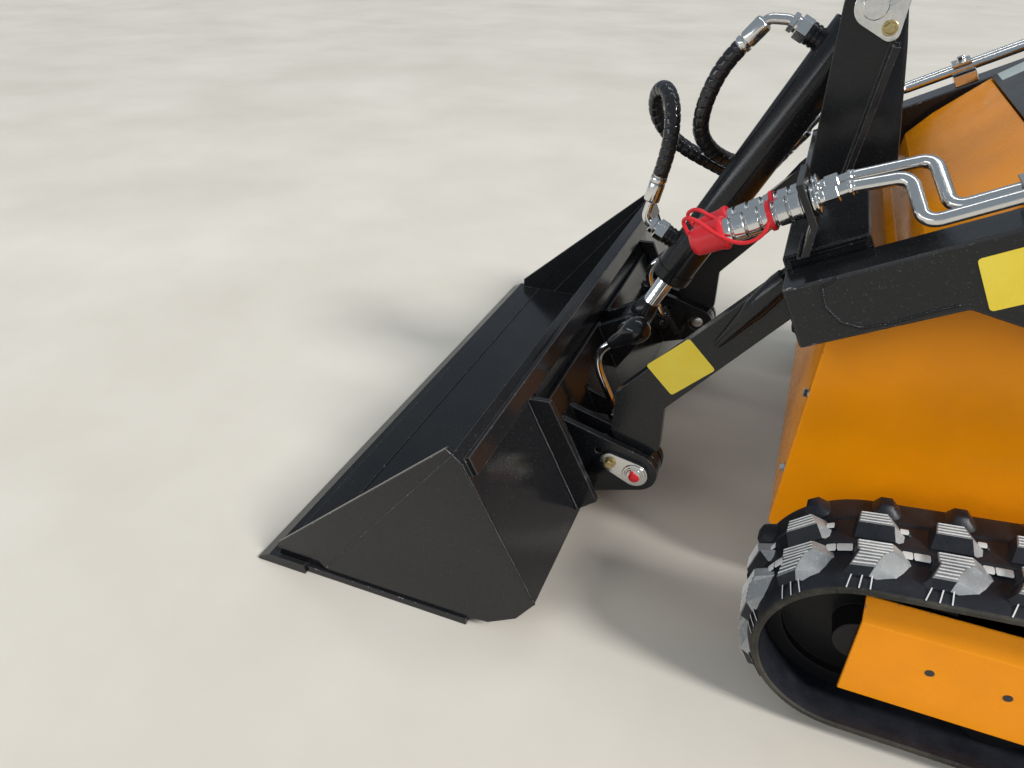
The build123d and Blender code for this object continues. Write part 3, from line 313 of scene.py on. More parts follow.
def moulded(name, colour, worn, rough, grain, height, gleam=0.5):
    """Moulded rubber or plastic with a fine grain, hazed to a second colour where it is rubbed."""
    made, tree, shader, where = material(name)
    haze = between(tree, noise(tree, where, 14, 6, 0.65), 0.4, 0.72)
    flecks = between(tree, noise(tree, where, 260, 2), 0.6, 0.75, 0.0, 0.6)
    share = add(tree, "Math", {0: haze, 1: flecks}, operation="ADD", use_clamp=True).outputs[0]
    tree.links.new(tinted(tree, share, opaque(colour), opaque(worn)), shader["Base Color"])
    skin = between(tree, noise(tree, where, 40, 3), 0.3, 0.7, rough * 0.85, rough * 1.15)
    tree.links.new(skin, shader["Roughness"])
    tree.links.new(raised(tree, noise(tree, where, grain, 3), height, 0.6), shader["Normal"])
    shader["Specular IOR Level"].default_value = gleam
    return made


# %% [markdown]
# The machine has two paints, an orange yellow and a deep gloss black. Each has a twin with chips for its
# edges: the Bevel modifier gives rounded edges a material of their own, so wear shows just where hands
# and stones reach.

# %% Finishes
finishes = {
    "black": paint("gloss black paint", (0.0065, 0.0070, 0.0085), 0.18, 0.04),
    "black_edge": paint("gloss black paint, worn edge", (0.018, 0.018, 0.020), 0.26, 0.10, 0.04),
    "yellow": paint("orange yellow paint", (0.86, 0.285, 0.002), 0.25, 0.03, 0.0, 0.4, 0.2),
    "yellow_edge": paint("orange yellow paint, worn edge", (0.88, 0.30, 0.006), 0.30, 0.05, 0.02, 0.6, 0.2),
    "hood": paint("dark grey paint", (0.035, 0.037, 0.041), 0.34, 0.12),
    "cast": paint("black cast iron", (0.005, 0.005, 0.006), 0.42, 0.02, 0.0, 1.0, 0.2),
    "engine": paint("grey cast iron", (0.11, 0.11, 0.115), 0.55, 0.2, 0.0, 1.0),
    "zinc": metal("zinc plate", (0.74, 0.74, 0.73), 0.16, 0.06),
    "yellow_zinc": metal("yellow zinc plate", (0.62, 0.50, 0.24), 0.3, 0.25),
    "chrome": metal("hard chrome", (0.86, 0.87, 0.88), 0.07, 0.04, 90),
    "fins": metal("aluminium fins", (0.62, 0.63, 0.64), 0.42, 0.2),
    "plastic": moulded("black plastic", (0.014, 0.014, 0.015), (0.03, 0.03, 0.031), 0.42, 900, 0.00015),
    "guard": moulded("spiral guard", (0.009, 0.009, 0.010), (0.016, 0.016, 0.017), 0.17, 500, 0.00003),
    "grip": moulded("glossy grip", (0.008, 0.008, 0.009), (0.014, 0.014, 0.015), 0.12, 900, 0.00002),
    "spring": moulded("black spring", (0.012, 0.012, 0.012), (0.05, 0.05, 0.05), 0.4, 700, 0.00006),
    "tread": moulded("track rubber", (0.006, 0.007, 0.010), (0.018, 0.019, 0.023), 0.42, 420, 0.0003, 0.3),
    "tread_worn": moulded("rubbed track rubber", (0.44, 0.435, 0.42), (0.60, 0.59, 0.56), 0.5, 300, 0.0004),
    # The rear flanks' mid grey is a painted sheen: the black rubber is painted lighter where it catches
    # light.
    "tread_flank_sheen": moulded("smooth rubber with painted sheen", (0.17, 0.175, 0.178), (0.32, 0.32, 0.31), 0.24, 300, 0.0001, 0.8),
    "tread_hazed": moulded("hazed rubber", (0.10, 0.10, 0.10), (0.26, 0.255, 0.24), 0.5, 300, 0.0004),
    "tread_rim": moulded("track rim", (0.012, 0.011, 0.009), (0.05, 0.044, 0.033), 0.6, 350, 0.0004, 0.3),
    "red": moulded("red rubber", (0.50, 0.006, 0.012), (0.55, 0.016, 0.024), 0.36, 600, 0.0001),
    "label": moulded("yellow label", (0.68, 0.50, 0.030), (0.72, 0.56, 0.06), 0.34, 700, 0.00003),
    "pale": moulded("pale label", (0.36, 0.40, 0.38), (0.44, 0.48, 0.46), 0.36, 700, 0.00003),
}
print("finishes", len(finishes))

# %% [markdown]
# The floor is a plain pale slab that keeps the machine's shadow.

# %% Floor
floor_mesh = bpy.data.meshes.new("floor")
floor_mesh.from_pydata([(-30, -30, 0), (30, -30, 0), (30, 30, 0), (-30, 30, 0)], [], [(0, 1, 2, 3)])
floor = linked("floor", floor_mesh)
slab, tree, shader, where = material("pale floor")
shade = between(tree, noise(tree, where, 1.3, 6, 0.6), 0.3, 0.7)
tree.links.new(tinted(tree, shade, (0.45, 0.412, 0.352, 1), (0.53, 0.492, 0.427, 1)), shader["Base Color"])
shader["Roughness"].default_value = 0.85
floor_mesh.materials.append(slab)

# %% [markdown]
# ## Building helpers
# A CAD edge is perfectly sharp, and no real plate is. Each steel piece is copied from the frame, its
# doubled points are merged and its flat faces joined, and a Bevel modifier rounds what is left.

# %% Rounded copies of the CAD pieces
SHARP = radians(32)
FLAT = radians(0.5)
MERGED = 0.00002
BROAD = 0.0035


def dressed(name, mesh, body, *materials):
    """A new piece with its materials, and a CAD body to ride on unless it lies between two."""
    thing = linked(name, mesh)
    mesh.materials.clear()
    for finish in materials:
        mesh.materials.append(finishes[finish])
    if body:
        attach(thing, body)
    return thing


@contextmanager
def opened(mesh):
    """A mesh opened for editing, and written back afterwards."""
    work = bmesh.new()
    work.from_mesh(mesh)
    yield work
    work.to_mesh(mesh)
    work.free()


def soften(thing, width, segments=2):
    """Rounds a piece's sharp edges and gives them its second material."""
    bevel = thing.modifiers.new("rounded edges", "BEVEL")
    bevel.width = width
    bevel.segments = segments
    bevel.limit_method = "ANGLE"
    bevel.angle_limit = SHARP
    bevel.material = 1
    bevel.use_clamp_overlap = False
    bevel.harden_normals = True


def rounded(node, body, finish, width):
    """A copy of a CAD node with rounded edges, worn where its paint has a twin, in the node's place."""
    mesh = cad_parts[node].data.copy()
    with opened(mesh) as work:
        bmesh.ops.remove_doubles(work, verts=work.verts, dist=MERGED)
        bmesh.ops.dissolve_limit(work, angle_limit=FLAT, verts=work.verts, edges=work.edges)
        for face in work.faces:
            face.material_index = 0
            face.smooth = True
    mesh.set_sharp_from_angle(angle=SHARP)
    edge = finish + "_edge" if finish + "_edge" in finishes else finish
    thing = dressed(node + "_looks", mesh, body, finish, edge)
    soften(thing, width, 3 if width > BROAD else 2)
    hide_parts(node)


# %% [markdown]
# Small fittings are turned on a lathe or cut from plate, so two helpers make most of them: one spins a
# profile round any axis, the other cuts a side view outline to a thickness.

# %% Turned and cut shapes


def tube_faces(rings, sides):
    """The faces of a tube of equal rings of points. The last two close its ends."""
    faces = []
    for low in range(0, (rings - 1) * sides, sides):
        for index in range(sides):
            after = (index + 1) % sides
            faces.append((low + index, low + after, low + sides + after, low + sides + index))
    return faces + [tuple(range(sides))[::-1], tuple(range((rings - 1) * sides, rings * sides))]


def joined(shapes):
    """The points and faces of several shapes as one shape."""
    points, faces = [], []
    for more_points, more_faces in shapes:
        faces += [tuple(index + len(points) for index in face) for face in more_faces]
        points += more_points
    return points, faces


def turned(start, end, profile, sides):
    """A shape turned round the line from start to end. The profile lists run and radius in millimetres."""
    axis = (end - start).normalized()
    across = axis.orthogonal().normalized()
    third = axis.cross(across)
    points = []
    for run, radius in profile:
        centre = start + axis * run / 1000
        for index in range(sides):
            turn = 2 * pi * index / sides
            points.append(centre + (across * cos(turn) + third * sin(turn)) * radius / 1000)
    return points, tube_faces(len(profile), sides)


def spindle(point, low, high, profile, sides):
    """A shape turned about a line across the machine, between two sides."""
    return turned(beside(point, low), beside(point, high), profile, sides)


def nut(start, end, across):
    """A hexagon with chamfered ends."""
    length = (end - start).length * 1000
    corner = across / 2 / cos(radians(30))
    profile = [(0, corner - 1.3), (1.1, corner), (length - 1.1, corner), (length, corner - 1.3)]
    return turned(start, end, profile, 6)


def cut(outline, low, high):
    """A plate with a side view outline between two sides."""
    points = [spot(station, side, height) for side in (low, high) for station, height in outline]
    count = len(outline)
    faces = [tuple(range(count)), tuple(range(2 * count - 1, count - 1, -1))]
    for index in range(count):
        after = (index + 1) % count
        faces.append((after, index, index + count, after + count))
    return points, faces


def oblong(front, rear, low, high):
    """The outline of a box in the side view."""
    return [(front, low), (rear, low), (rear, high), (front, high)]


def side_pair(way, near, far):
    """Two sides on the machine's left or right, the lower one first."""
    return sorted((way * near, way * far))


def wrapped(circles):
    """The outline of a belt round circles, each given as station, height and radius."""
    dots = []
    for station, height, radius in circles:
        for index in range(48):
            turn = 2 * pi * index / 48
            dots.append((station + radius * cos(turn), height + radius * sin(turn)))
    dots = sorted(set((round(a, 3), round(b, 3)) for a, b in dots))
    rim = []
    for way in (dots, dots[::-1]):
        chain = []
        for dot in way:
            while len(chain) > 1 and (chain[-1][0] - chain[-2][0]) * (dot[1] - chain[-2][1]) <= (
                chain[-1][1] - chain[-2][1]
            ) * (dot[0] - chain[-2][0]):
                chain.pop()
            chain.append(dot)
        rim += chain[:-1]
    return rim


def outward(work):
    """Turns all faces outward and shades them smooth."""
    bmesh.ops.recalc_face_normals(work, faces=work.faces)
    for face in work.faces:
        face.smooth = True


def piece(name, body, finish, shapes, bevel, smooth=35):
    """Joins shapes into one piece on a body, its edges rounded by a bevel in millimetres."""
    points, faces = joined(shapes)
    mesh = bpy.data.meshes.new(name)
    mesh.from_pydata(points, [], faces)
    with opened(mesh) as work:
        outward(work)
    mesh.set_sharp_from_angle(angle=radians(smooth))
    thing = dressed(name, mesh, body, finish, finish)
    if bevel:
        soften(thing, bevel / 1000)
    return thing


# %% [markdown]
# ## Rules for what repeats
# Screws, weld ripples, bent tubes and the tread repeat a small shape by a rule, so each is a Geometry
# Nodes tree with named sizes. A tree runs once on a few points, and its result is kept as a plain mesh.

# %% Geometry tree helpers


def grow(tree, kind, values=None, **settings):
    """A geometry node."""
    return placed(tree, "GeometryNode" + kind, values, settings)


def reckoned(tree, operation, first, second):
    """Two vectors added or crossed, or one scaled by a number."""
    values = {0: first, "Scale" if operation == "SCALE" else 1: second}
    return add(tree, "VectorMath", values, operation=operation).outputs[0]


def rule(name, **sizes):
    """An empty geometry tree with named inputs, and its two end nodes."""
    tree = bpy.data.node_groups.new(name, "GeometryNodeTree")
    tree.is_modifier = True
    tree.interface.new_socket("Geometry", in_out="INPUT", socket_type="NodeSocketGeometry")
    for title, kind in sizes.items():
        tree.interface.new_socket(title, in_out="INPUT", socket_type="NodeSocket" + kind)
    tree.interface.new_socket("Geometry", in_out="OUTPUT", socket_type="NodeSocketGeometry")
    return tree, tree.nodes.new("NodeGroupInput").outputs, tree.nodes.new("NodeGroupOutput").inputs


def close_rule(tree, given, result, geometry):
    """Ends a tree: copies become real and get their material."""
    solid = grow(tree, "RealizeInstances", {"Geometry": geometry})
    coat = grow(tree, "SetMaterial", {"Geometry": solid.outputs[0], "Material": given["Finish"]})
    tree.links.new(coat.outputs[0], result["Geometry"])


def grown(tree, mesh, **sizes):
    """Runs a tree on a mesh and keeps the result as a plain mesh."""
    seed = linked("seed", mesh)
    modifier = seed.modifiers.new("rule", "NODES")
    modifier.node_group = tree
    for item in tree.interface.items_tree:
        if item.in_out == "INPUT" and item.name in sizes:
            modifier[item.identifier] = sizes[item.name]
    graph = bpy.context.evaluated_depsgraph_get()
    result = bpy.data.meshes.new_from_object(seed.evaluated_get(graph), depsgraph=graph)
    bpy.data.objects.remove(seed)
    return result


def wire(runs):
    """A mesh of open runs of points."""
    mesh = bpy.data.meshes.new("wire")
    points, edges = [], []
    for run in runs:
        edges += [(len(points) + index, len(points) + index + 1) for index in range(len(run) - 1)]
        points += run
    mesh.from_pydata(points, edges, [])
    return mesh


# %% [markdown]
# A hydraulic tube is straight pipe bent round a former, so all its bends have one radius. The tree rounds
# the corners of a run of points by that radius and sweeps a circle along it. Bends could be drawn one by
# one, but a rule keeps them alike.

# %% Tree for bent steel tubes
tube_rule, given, result = rule("bent tube", Radius="Float", Bend="Float", Finish="Material")
line = grow(tube_rule, "MeshToCurve", {"Mesh": given["Geometry"]})
bent = grow(tube_rule, "FilletCurve", mode="POLY")
tube_rule.links.new(line.outputs[0], bent.inputs["Curve"])
tube_rule.links.new(given["Bend"], bent.inputs["Radius"])
bent.inputs["Count"].default_value = 8
bent.inputs["Limit Radius"].default_value = True
ring = grow(tube_rule, "CurvePrimitiveCircle", {"Resolution": 20, "Radius": given["Radius"]})
swept = {"Curve": bent.outputs[0], "Profile Curve": ring.outputs[0], "Fill Caps": True}
tube = grow(tube_rule, "CurveToMesh", swept)
close_rule(tube_rule, given, result, tube.outputs[0])


def tubes(name, body, finish, runs, radius, bend):
    """Bent round tubes along runs of points, as one piece."""
    mesh = grown(tube_rule, wire(runs), Radius=radius / 1000, Bend=bend / 1000, Finish=finishes[finish])
    mesh.shade_smooth()
    mesh.set_sharp_from_angle(angle=radians(45))
    return dressed(name, mesh, body, finish)


# %% [markdown]
# Every screw is the same hexagon head on a washer. One is turned once, and the tree stands a copy on each
# point, facing the way that the point says and scaled by its width across flats.

# %% Tree for screws
hexagon = turned(Vector((0, 0, -0.05)), Vector((0, 0, 1)), [(0, 577), (640, 577), (730, 500)], 6)
washer = turned(Vector((0, 0, -0.05)), Vector((0, 0, 1)), [(0, 800), (150, 800), (185, 765)], 20)
screw_mesh = bpy.data.meshes.new("screw")
points, faces = joined([hexagon, washer])
screw_mesh.from_pydata(points, [], faces)
screw_head = linked("screw_head", screw_mesh)
screw_rule, given, result = rule("screws", Head="Object", Finish="Material")
facing = grow(screw_rule, "InputNamedAttribute", {"Name": "facing"}, data_type="FLOAT_VECTOR").outputs[0]
across = grow(screw_rule, "InputNamedAttribute", {"Name": "across"}, data_type="FLOAT").outputs[0]
turning = placed(screw_rule, "FunctionNodeAlignRotationToVector", {"Vector": facing}, {"axis": "Z"})
head = grow(screw_rule, "ObjectInfo", {"Object": given["Head"]}).outputs["Geometry"]
stand = {"Points": given["Geometry"], "Instance": head, "Rotation": turning.outputs[0], "Scale": across}
heads = grow(screw_rule, "InstanceOnPoints", stand)
close_rule(screw_rule, given, result, heads.outputs[0])


def screws(name, body, finish, rows):
    """Hexagon screws with washers. A row has a place, the way the head looks and its width across flats."""
    mesh = wire([[row[0]] for row in rows])
    ways = [part for row in rows for part in Vector(row[1]).normalized()]
    widths = [row[2] / 1000 for row in rows]
    mesh.attributes.new("facing", "FLOAT_VECTOR", "POINT").data.foreach_set("vector", ways)
    mesh.attributes.new("across", "FLOAT", "POINT").data.foreach_set("value", widths)
    made = grown(screw_rule, mesh, Head=screw_head, Finish=finishes[finish])
    made.shade_smooth()
    made.set_sharp_from_angle(angle=radians(25))
    return dressed(name, made, body, finish)


# %% [markdown]
# A weld is a row of overlapping ripples left by the torch. The tree resamples a run of points every few
# millimetres and sets a flattened drop on each, turned along the run, with a little chance in its size.

# %% Tree for weld beads
weld_rule, given, result = rule("weld bead", Size="Float", Finish="Material")
line = grow(weld_rule, "MeshToCurve", {"Mesh": given["Geometry"]})
step = reckon(weld_rule, "MULTIPLY", given["Size"], 0.62)
spaced = grow(weld_rule, "ResampleCurve", {"Curve": line.outputs[0], "Length": step}, mode="LENGTH")
drop = grow(weld_rule, "MeshUVSphere", {"Segments": 8, "Rings": 6, "Radius": 0.5})
tangent = grow(weld_rule, "InputTangent").outputs[0]
turning = placed(weld_rule, "FunctionNodeAlignRotationToVector", {"Vector": tangent}, {"axis": "X"})
chance = placed(weld_rule, "FunctionNodeRandomValue", {}, {"data_type": "FLOAT_VECTOR"})
chance.inputs["Min"].default_value = (0.95, 0.85, 0.85)
chance.inputs["Max"].default_value = (1.15, 1.1, 1.1)
chance.inputs["Seed"].default_value = 7
scale = reckoned(weld_rule, "SCALE", chance.outputs[0], given["Size"])
stand = {"Points": spaced.outputs[0], "Instance": drop.outputs[0], "Scale": scale}
drops = grow(weld_rule, "InstanceOnPoints", {**stand, "Rotation": turning.outputs[0]})
close_rule(weld_rule, given, result, drops.outputs[0])


def welds(name, body, finish, runs, size):
    """Weld beads along runs of points, as one piece."""
    made = grown(weld_rule, wire(runs), Size=size / 1000, Finish=finishes[finish])
    made.shade_smooth()
    return dressed(name, made, body, finish)


# %% [markdown]
# ## Hoses
# Two hydraulic hoses leave the tilt cylinder's steel elbows, loop forward and down, and reach the right
# arm's tubes. Each wears a spiral guard, a strip of hard plastic wound round the rubber, so its outline
# is ribbed. The hose's line is a smooth NURBS spline, and the guard is a tube whose radius swells along
# the winding strip.

# %% Hose routes
HOSE_RADIUS = 0.012
GUARD_PITCH = 0.0150
GUARD_RIDGE = 0.0016
GUARD_PROUD = 0.0006
GUARD_SIDES = 22
GUARD_STEP = 0.0016
hose_routes = {
    "hose_top": [
        (560.0, 0.0, 714.0),
        (543.5, 0.0, 693.9),
        (527.9, -2.0, 659.3),
        (518.2, -6.3, 622.4),
        (517.3, -16.8, 586.1),
        (534.1, -36.1, 557.9),
        (555.7, -61.4, 539.0),
        (576.5, -91.1, 526.5),
        (593.3, -123.7, 515.2),
        (603.0, -158.5, 502.5),
        (602.5, -194.0, 488.2),
        (600.0, -229.3, 473.5),
        (607.5, -265.5, 465.1),
        (624.5, -292.0, 482.4),
        (639.0, -292.0, 504.0),
    ],
    "hose_low": [
        (467.0, 0.0, 519.0),
        (472.8, 0.0, 544.4),
        (477.2, -2.9, 585.5),
        (472.1, -14.3, 624.9),
        (453.2, -42.9, 645.0),
        (432.4, -74.7, 631.1),
        (429.9, -91.9, 594.3),
        (451.4, -101.8, 560.7),
        (484.7, -108.8, 537.0),
        (520.9, -118.1, 518.7),
        (552.9, -136.9, 500.2),
        (574.8, -165.8, 480.5),
        (582.7, -201.7, 461.2),
        (585.2, -238.9, 442.8),
        (590.7, -278.3, 432.1),
        (604.6, -312.1, 449.5),
        (624.5, -326.0, 482.4),
        (639.0, -326.0, 504.0),
    ],
}


def smooth_line(points):
    """The points that a smooth spline through a route passes, read from Blender's own curve."""
    data = bpy.data.curves.new("route", "CURVE")
    data.dimensions = "3D"
    data.resolution_u = 10
    spline = data.splines.new("NURBS")
    spline.points.add(len(points) - 1)
    for point, place in zip(spline.points, points):
        point.co = (*place, 1.0)
    spline.order_u = 3
    spline.use_endpoint_u = True
    holder = linked("route", data)
    graph = bpy.context.evaluated_depsgraph_get()
    mesh = bpy.data.meshes.new_from_object(holder.evaluated_get(graph), depsgraph=graph)
    line = [vertex.co.copy() for vertex in mesh.vertices]
    bpy.data.objects.remove(holder)
    return line


# %% Spiral guards


def guard_tube(line):
    """A hose along a line of points, ribbed by the strip that winds round it once each pitch."""
    lengths = [0.0]
    for before, after in zip(line, line[1:]):
        lengths.append(lengths[-1] + (after - before).length)
    count = int(lengths[-1] / GUARD_STEP)
    points = []
    across = (line[1] - line[0]).orthogonal().normalized()
    segment = 0
    for ring in range(count + 1):
        run = lengths[-1] * ring / count
        while segment < len(line) - 2 and run > lengths[segment + 1]:
            segment += 1
        share = (run - lengths[segment]) / (lengths[segment + 1] - lengths[segment])
        centre = line[segment].lerp(line[segment + 1], share)
        way = (line[segment + 1] - line[segment]).normalized()
        across = (across - way * across.dot(way)).normalized()
        third = way.cross(across)
        for side in range(GUARD_SIDES):
            turn = 2 * pi * side / GUARD_SIDES
            phase = (run / GUARD_PITCH - turn / (2 * pi)) % 1.0
            swell = min(1.0, 6.5 * min(phase, 1 - phase)) ** 0.7
            size = HOSE_RADIUS + GUARD_PROUD + GUARD_RIDGE * (swell - 1.0)
            points.append(centre + (across * cos(turn) + third * sin(turn)) * size)
    return points, tube_faces(count + 1, GUARD_SIDES)


for name, route in hose_routes.items():
    line = smooth_line([spot(*point) for point in route])
    hose = piece(name + "_guard", None, "guard", [guard_tube(line)], 0, 80)
    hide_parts(name)
    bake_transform(hose)
    print(name, "points", len(line))

# %% [markdown]
# ## Painted steel
# The big welded pieces keep the CAD's shape and get rounded edges. Folded box sections have larger radii
# than plates that were only cut.

# %% Welded and folded steel
for nodes, body, finish, width in (
    ("bucket attach_frame", "attachment", "black", 0.0014),
    ("cutting_edge wear_plate", "attachment", "black", 0.0010),
    ("arm_left arm_right", "lift_arms", "black", 0.003),
    ("legs", "lift_arms", "black", 0.0014),
    ("cross_member", "lift_arms", "black", 0.003),
    ("tower", "lift_arms", "black", 0.0014),
    ("coupler_plate", "lift_arms", "black", 0.0010),
    ("tilt_barrel", "tilt_barrel", "black", 0.0010),
    ("lift_barrels", "lift_barrels", "black", 0.0010),
    ("hand_rail", "chassis", "black", 0.0010),
    ("body upright_left upright_right track_frame_left track_frame_right", "chassis", "yellow", 0.0016),
    ("step", "step", "black", 0.0008),
    ("step_bracket", "chassis", "black", 0.0010),
    ("hood", "hood", "hood", 0.0012),
    ("rear_grille", "chassis", "hood", 0.0006),
    ("console", "chassis", "plastic", 0.008),
    ("engine", "chassis", "engine", 0.006),
    ("idlers rollers sprockets", "chassis", "cast", 0.0012),
    ("tower_pin lift_eye_pins", "lift_arms", "zinc", 0.0008),
    ("pivot_pins", "chassis", "zinc", 0.0008),
    ("tube_clamps", "lift_arms", "zinc", 0.0008),
    ("tilt_rod", "tilt_rod", "chrome", 0.0008),
    ("lift_rods", "lift_rods", "chrome", 0.0008),
    ("radiator", "chassis", "fins", 0.002),
    ("levers", "chassis", "plastic", 0.004),
):
    for node in nodes.split():
        rounded(node, body, finish, width)

# %% [markdown]
# ## Tracks
# A rubber track is moulded in one piece: a belt with a dusty rim, and on each pitch an outer block with a
# slanting leg, a middle block with stepped ridges and a plain inner block. One pitch is modelled flat,
# and a Geometry Nodes tree repeats it in a row and bends the row round the belt's path, so that
# everything follows the idler's curve.

# %% Belt path
BELT = 15.0
PITCH = 77.0
BELT_ROUNDS = [(858.0, 141.0, 111.0), (1640.0, 212.0, 125.0), (1532.0, 68.0, 38.0)]


def belt_path():
    """Points of the belt's outer face in the side view, evenly spaced, and the number of pitches."""
    rounds = [(FRONT - station, height, radius + BELT) for station, height, radius in BELT_ROUNDS]
    spans = []
    for (x1, z1, r1), (x2, z2, r2) in zip(rounds, rounds[1:] + rounds[:1]):
        out = atan2(z2 - z1, x2 - x1) - acos((r1 - r2) / hypot(x2 - x1, z2 - z1))
        leaves = (x1 + r1 * cos(out), z1 + r1 * sin(out))
        meets = (x2 + r2 * cos(out), z2 + r2 * sin(out))
        spans.append((leaves, meets, out))
    parts = []
    for index, (start, end, out) in enumerate(spans):
        x, z, radius = rounds[(index + 1) % 3]
        turn = (spans[(index + 1) % 3][2] - out) % (2 * pi)
        parts.append((hypot(end[0] - start[0], end[1] - start[1]), start, end, None))
        parts.append((radius * turn, (x, z), (out, turn), radius))
    total = sum(part[0] for part in parts)
    count = round(total / PITCH)

    def at(run):
        run %= total
        for length, first, second, radius in parts:
            if run < length:
                break
            run -= length
        if radius:
            angle = second[0] + second[1] * run / length
            x, z = first[0] + radius * cos(angle), first[1] + radius * sin(angle)
        else:
            share = run / length
            x, z = first[0] + (second[0] - first[0]) * share, first[1] + (second[1] - first[1]) * share
        return Vector((x / 1000, 0, z / 1000))

    steps = 12 * count
    start = -total / count / 2
    return [at(start + total * index / steps) for index in range(steps + 1)], count, total / count


path, pitches, pitch = belt_path()
print("pitches", pitches, "of", round(pitch, 2), "mm")

# %% [markdown]
# A lug's flanks slope so that it leaves its mould. It is described by rows across the belt, and each face
# is told what kind of rubber it has: plain, rubbed pale, rim, rear flank with a painted sheen, or hazed top.

# %% Moulded blocks
PLAIN, RUBBED, RIM, SHEEN_FLANK, HAZED = range(5)
RUBBERS = ("tread", "tread_worn", "tread_rim", "tread_flank_sheen", "tread_hazed")
RIDGE_WIDTH = 2.6


def block(rows, top=PLAIN, rear=PLAIN, last_top=PLAIN):
    """A moulded block from rows across the belt, and the kind of rubber on each of its faces.

    A row lists side, front, rear, height, and how far its feet spread forward and back.
    """
    points, faces, kinds = [], [], []
    for side, first, last, height, before, behind in rows:
        foot = min(-1.0, height - 6.0)
        for run, up in ((first - before, foot), (first, height), (last, height), (last + behind, foot)):
            points.append(Vector((run / 1000, side / 1000, up / 1000)))
    for index in range(len(rows) - 1):
        low = 4 * index
        for edge in range(4):
            after = (edge + 1) % 4
            faces.append((low + edge, low + after, low + after + 4, low + edge + 4))
            kinds.append((PLAIN, last_top if index == len(rows) - 2 else top, rear, PLAIN)[edge])
    faces += [(3, 2, 1, 0), tuple(4 * (len(rows) - 1) + edge for edge in range(4))]
    return points, faces, kinds + [PLAIN, PLAIN]


def ridge(side, front, rear, height):
    """One low ridge across a block's top."""
    points = []
    for way, rise, narrow in ((-1, -0.6, 0.0), (-1, 1.0, 0.25), (1, 1.0, 0.25), (1, -0.6, 0.0)):
        for run in (front, rear):
            place = side + way * RIDGE_WIDTH * (0.5 - narrow * 0.5)
            points.append(Vector((run / 1000, place / 1000, (height + rise) / 1000)))
    faces = [(0, 2, 3, 1), (2, 4, 5, 3), (4, 6, 7, 5), (6, 0, 1, 7), (0, 6, 4, 2), (1, 3, 5, 7)]
    return points, faces, [RUBBED] * 6


def inside(rows, side):
    """Front, rear and height of a block's top at a side, between its rows."""
    for low, high in zip(rows, rows[1:]):
        if low[0] <= side <= high[0]:
            share = (side - low[0]) / (high[0] - low[0])
            return [low[part] + (high[part] - low[part]) * share for part in (1, 2, 3)]
    return rows[-1][1:4]


def low_bar(near, far, front, rear, before, behind):
    """A low flat bar between two blocks."""
    ends = [(near, 1, 3.0), (near + 2, 0, 3.8), (far - 2, 0, 3.8), (far, 1, 2.8)]
    rows = [(side, front + less, rear - less, height, before, behind) for side, less, height in ends]
    return block(rows, top=RUBBED, last_top=RUBBED)


# %% [markdown]
# The outer block leans back, and three thin ribs run from it over the belt's edge. The middle block lies
# beside it, the inner one stays plain, and low bars join them. The tops that meet the ground carry narrow
# ridges.

# %% One pitch of the tread
RIDGE_STEP = 4.9
outer_block = [
    (466, -15, 15, 8.0, 6, 12),
    (470, -17, 17, 14.0, 6, 17),
    (485, -17, 18, 14.0, 7, 20),
    (487, -15, 10, 13.8, 7, 27),
    (500, -20, 3, 12.8, 8, 27),
    (509, -24, -1, 11.4, 8, 24),
    (515, -23, -6, 1.0, 9, 18),
]
middle_block = [
    (415, -12, 8, 8.0, 5, 8),
    (419, -14, 13, 14.0, 6, 12),
    (438, -16, 19, 14.0, 7, 14),
    (452, -21, 22, 1.6, 7, 12),
]
inner_block = [
    (377, 8, 16, 4.0, 8, 8),
    (382, 7, 18, 10.0, 9, 10),
    (387, 7, 19, 13.4, 10, 11),
    (401, 6, 20, 13.6, 10, 11),
    (407, 5, 19, 10.0, 9, 9),
    (412, 6, 16, 2.6, 8, 8),
]
# The rear faces of the outer and middle blocks get the flank rubber, painted mid grey as a painted sheen.
shapes = [block(outer_block, HAZED, SHEEN_FLANK), block(middle_block, HAZED, SHEEN_FLANK), block(inner_block)]
for bar in ((466, 478, 28, 38.5, 2, 0), (466, 478, -38.5, -22, 0, 2), (428, 437, 27, 36, 4, 6)):
    shapes.append(low_bar(*bar))
for rows, first, last in ((outer_block, 471.5, 510.0), (middle_block, 421.0, 438.0)):
    side = first
    while side < last:
        front, rear, height = inside(rows, side)
        shapes.append(ridge(side, front + 0.6, rear - 0.6, height))
        side += RIDGE_STEP
for rib in (-22.0, -12.0, -3.0):
    rows = [
        (510, rib, rib + 1.4, 3.0, 0.4, 0.4),
        (516, rib * 1.1 - 0.2, rib * 1.1 + 1.2, 1.0, 0.4, 0.4),
        (522, rib * 1.2 - 0.5, rib * 1.2 + 0.9, -2.0, 0.4, 0.4),
        (528, rib * 1.3 - 0.9, rib * 1.3 + 0.5, -5.4, 0.4, 0.4),
    ]
    shapes.append(block(rows, top=RUBBED, last_top=RUBBED))

# %% [markdown]
# The belt under the blocks is a strip with rounded rims. It is cut into eight across each pitch, so that
# it bends smoothly, and a face attribute remembers which faces are rubbed pale and which belong to the
# dusty rim.

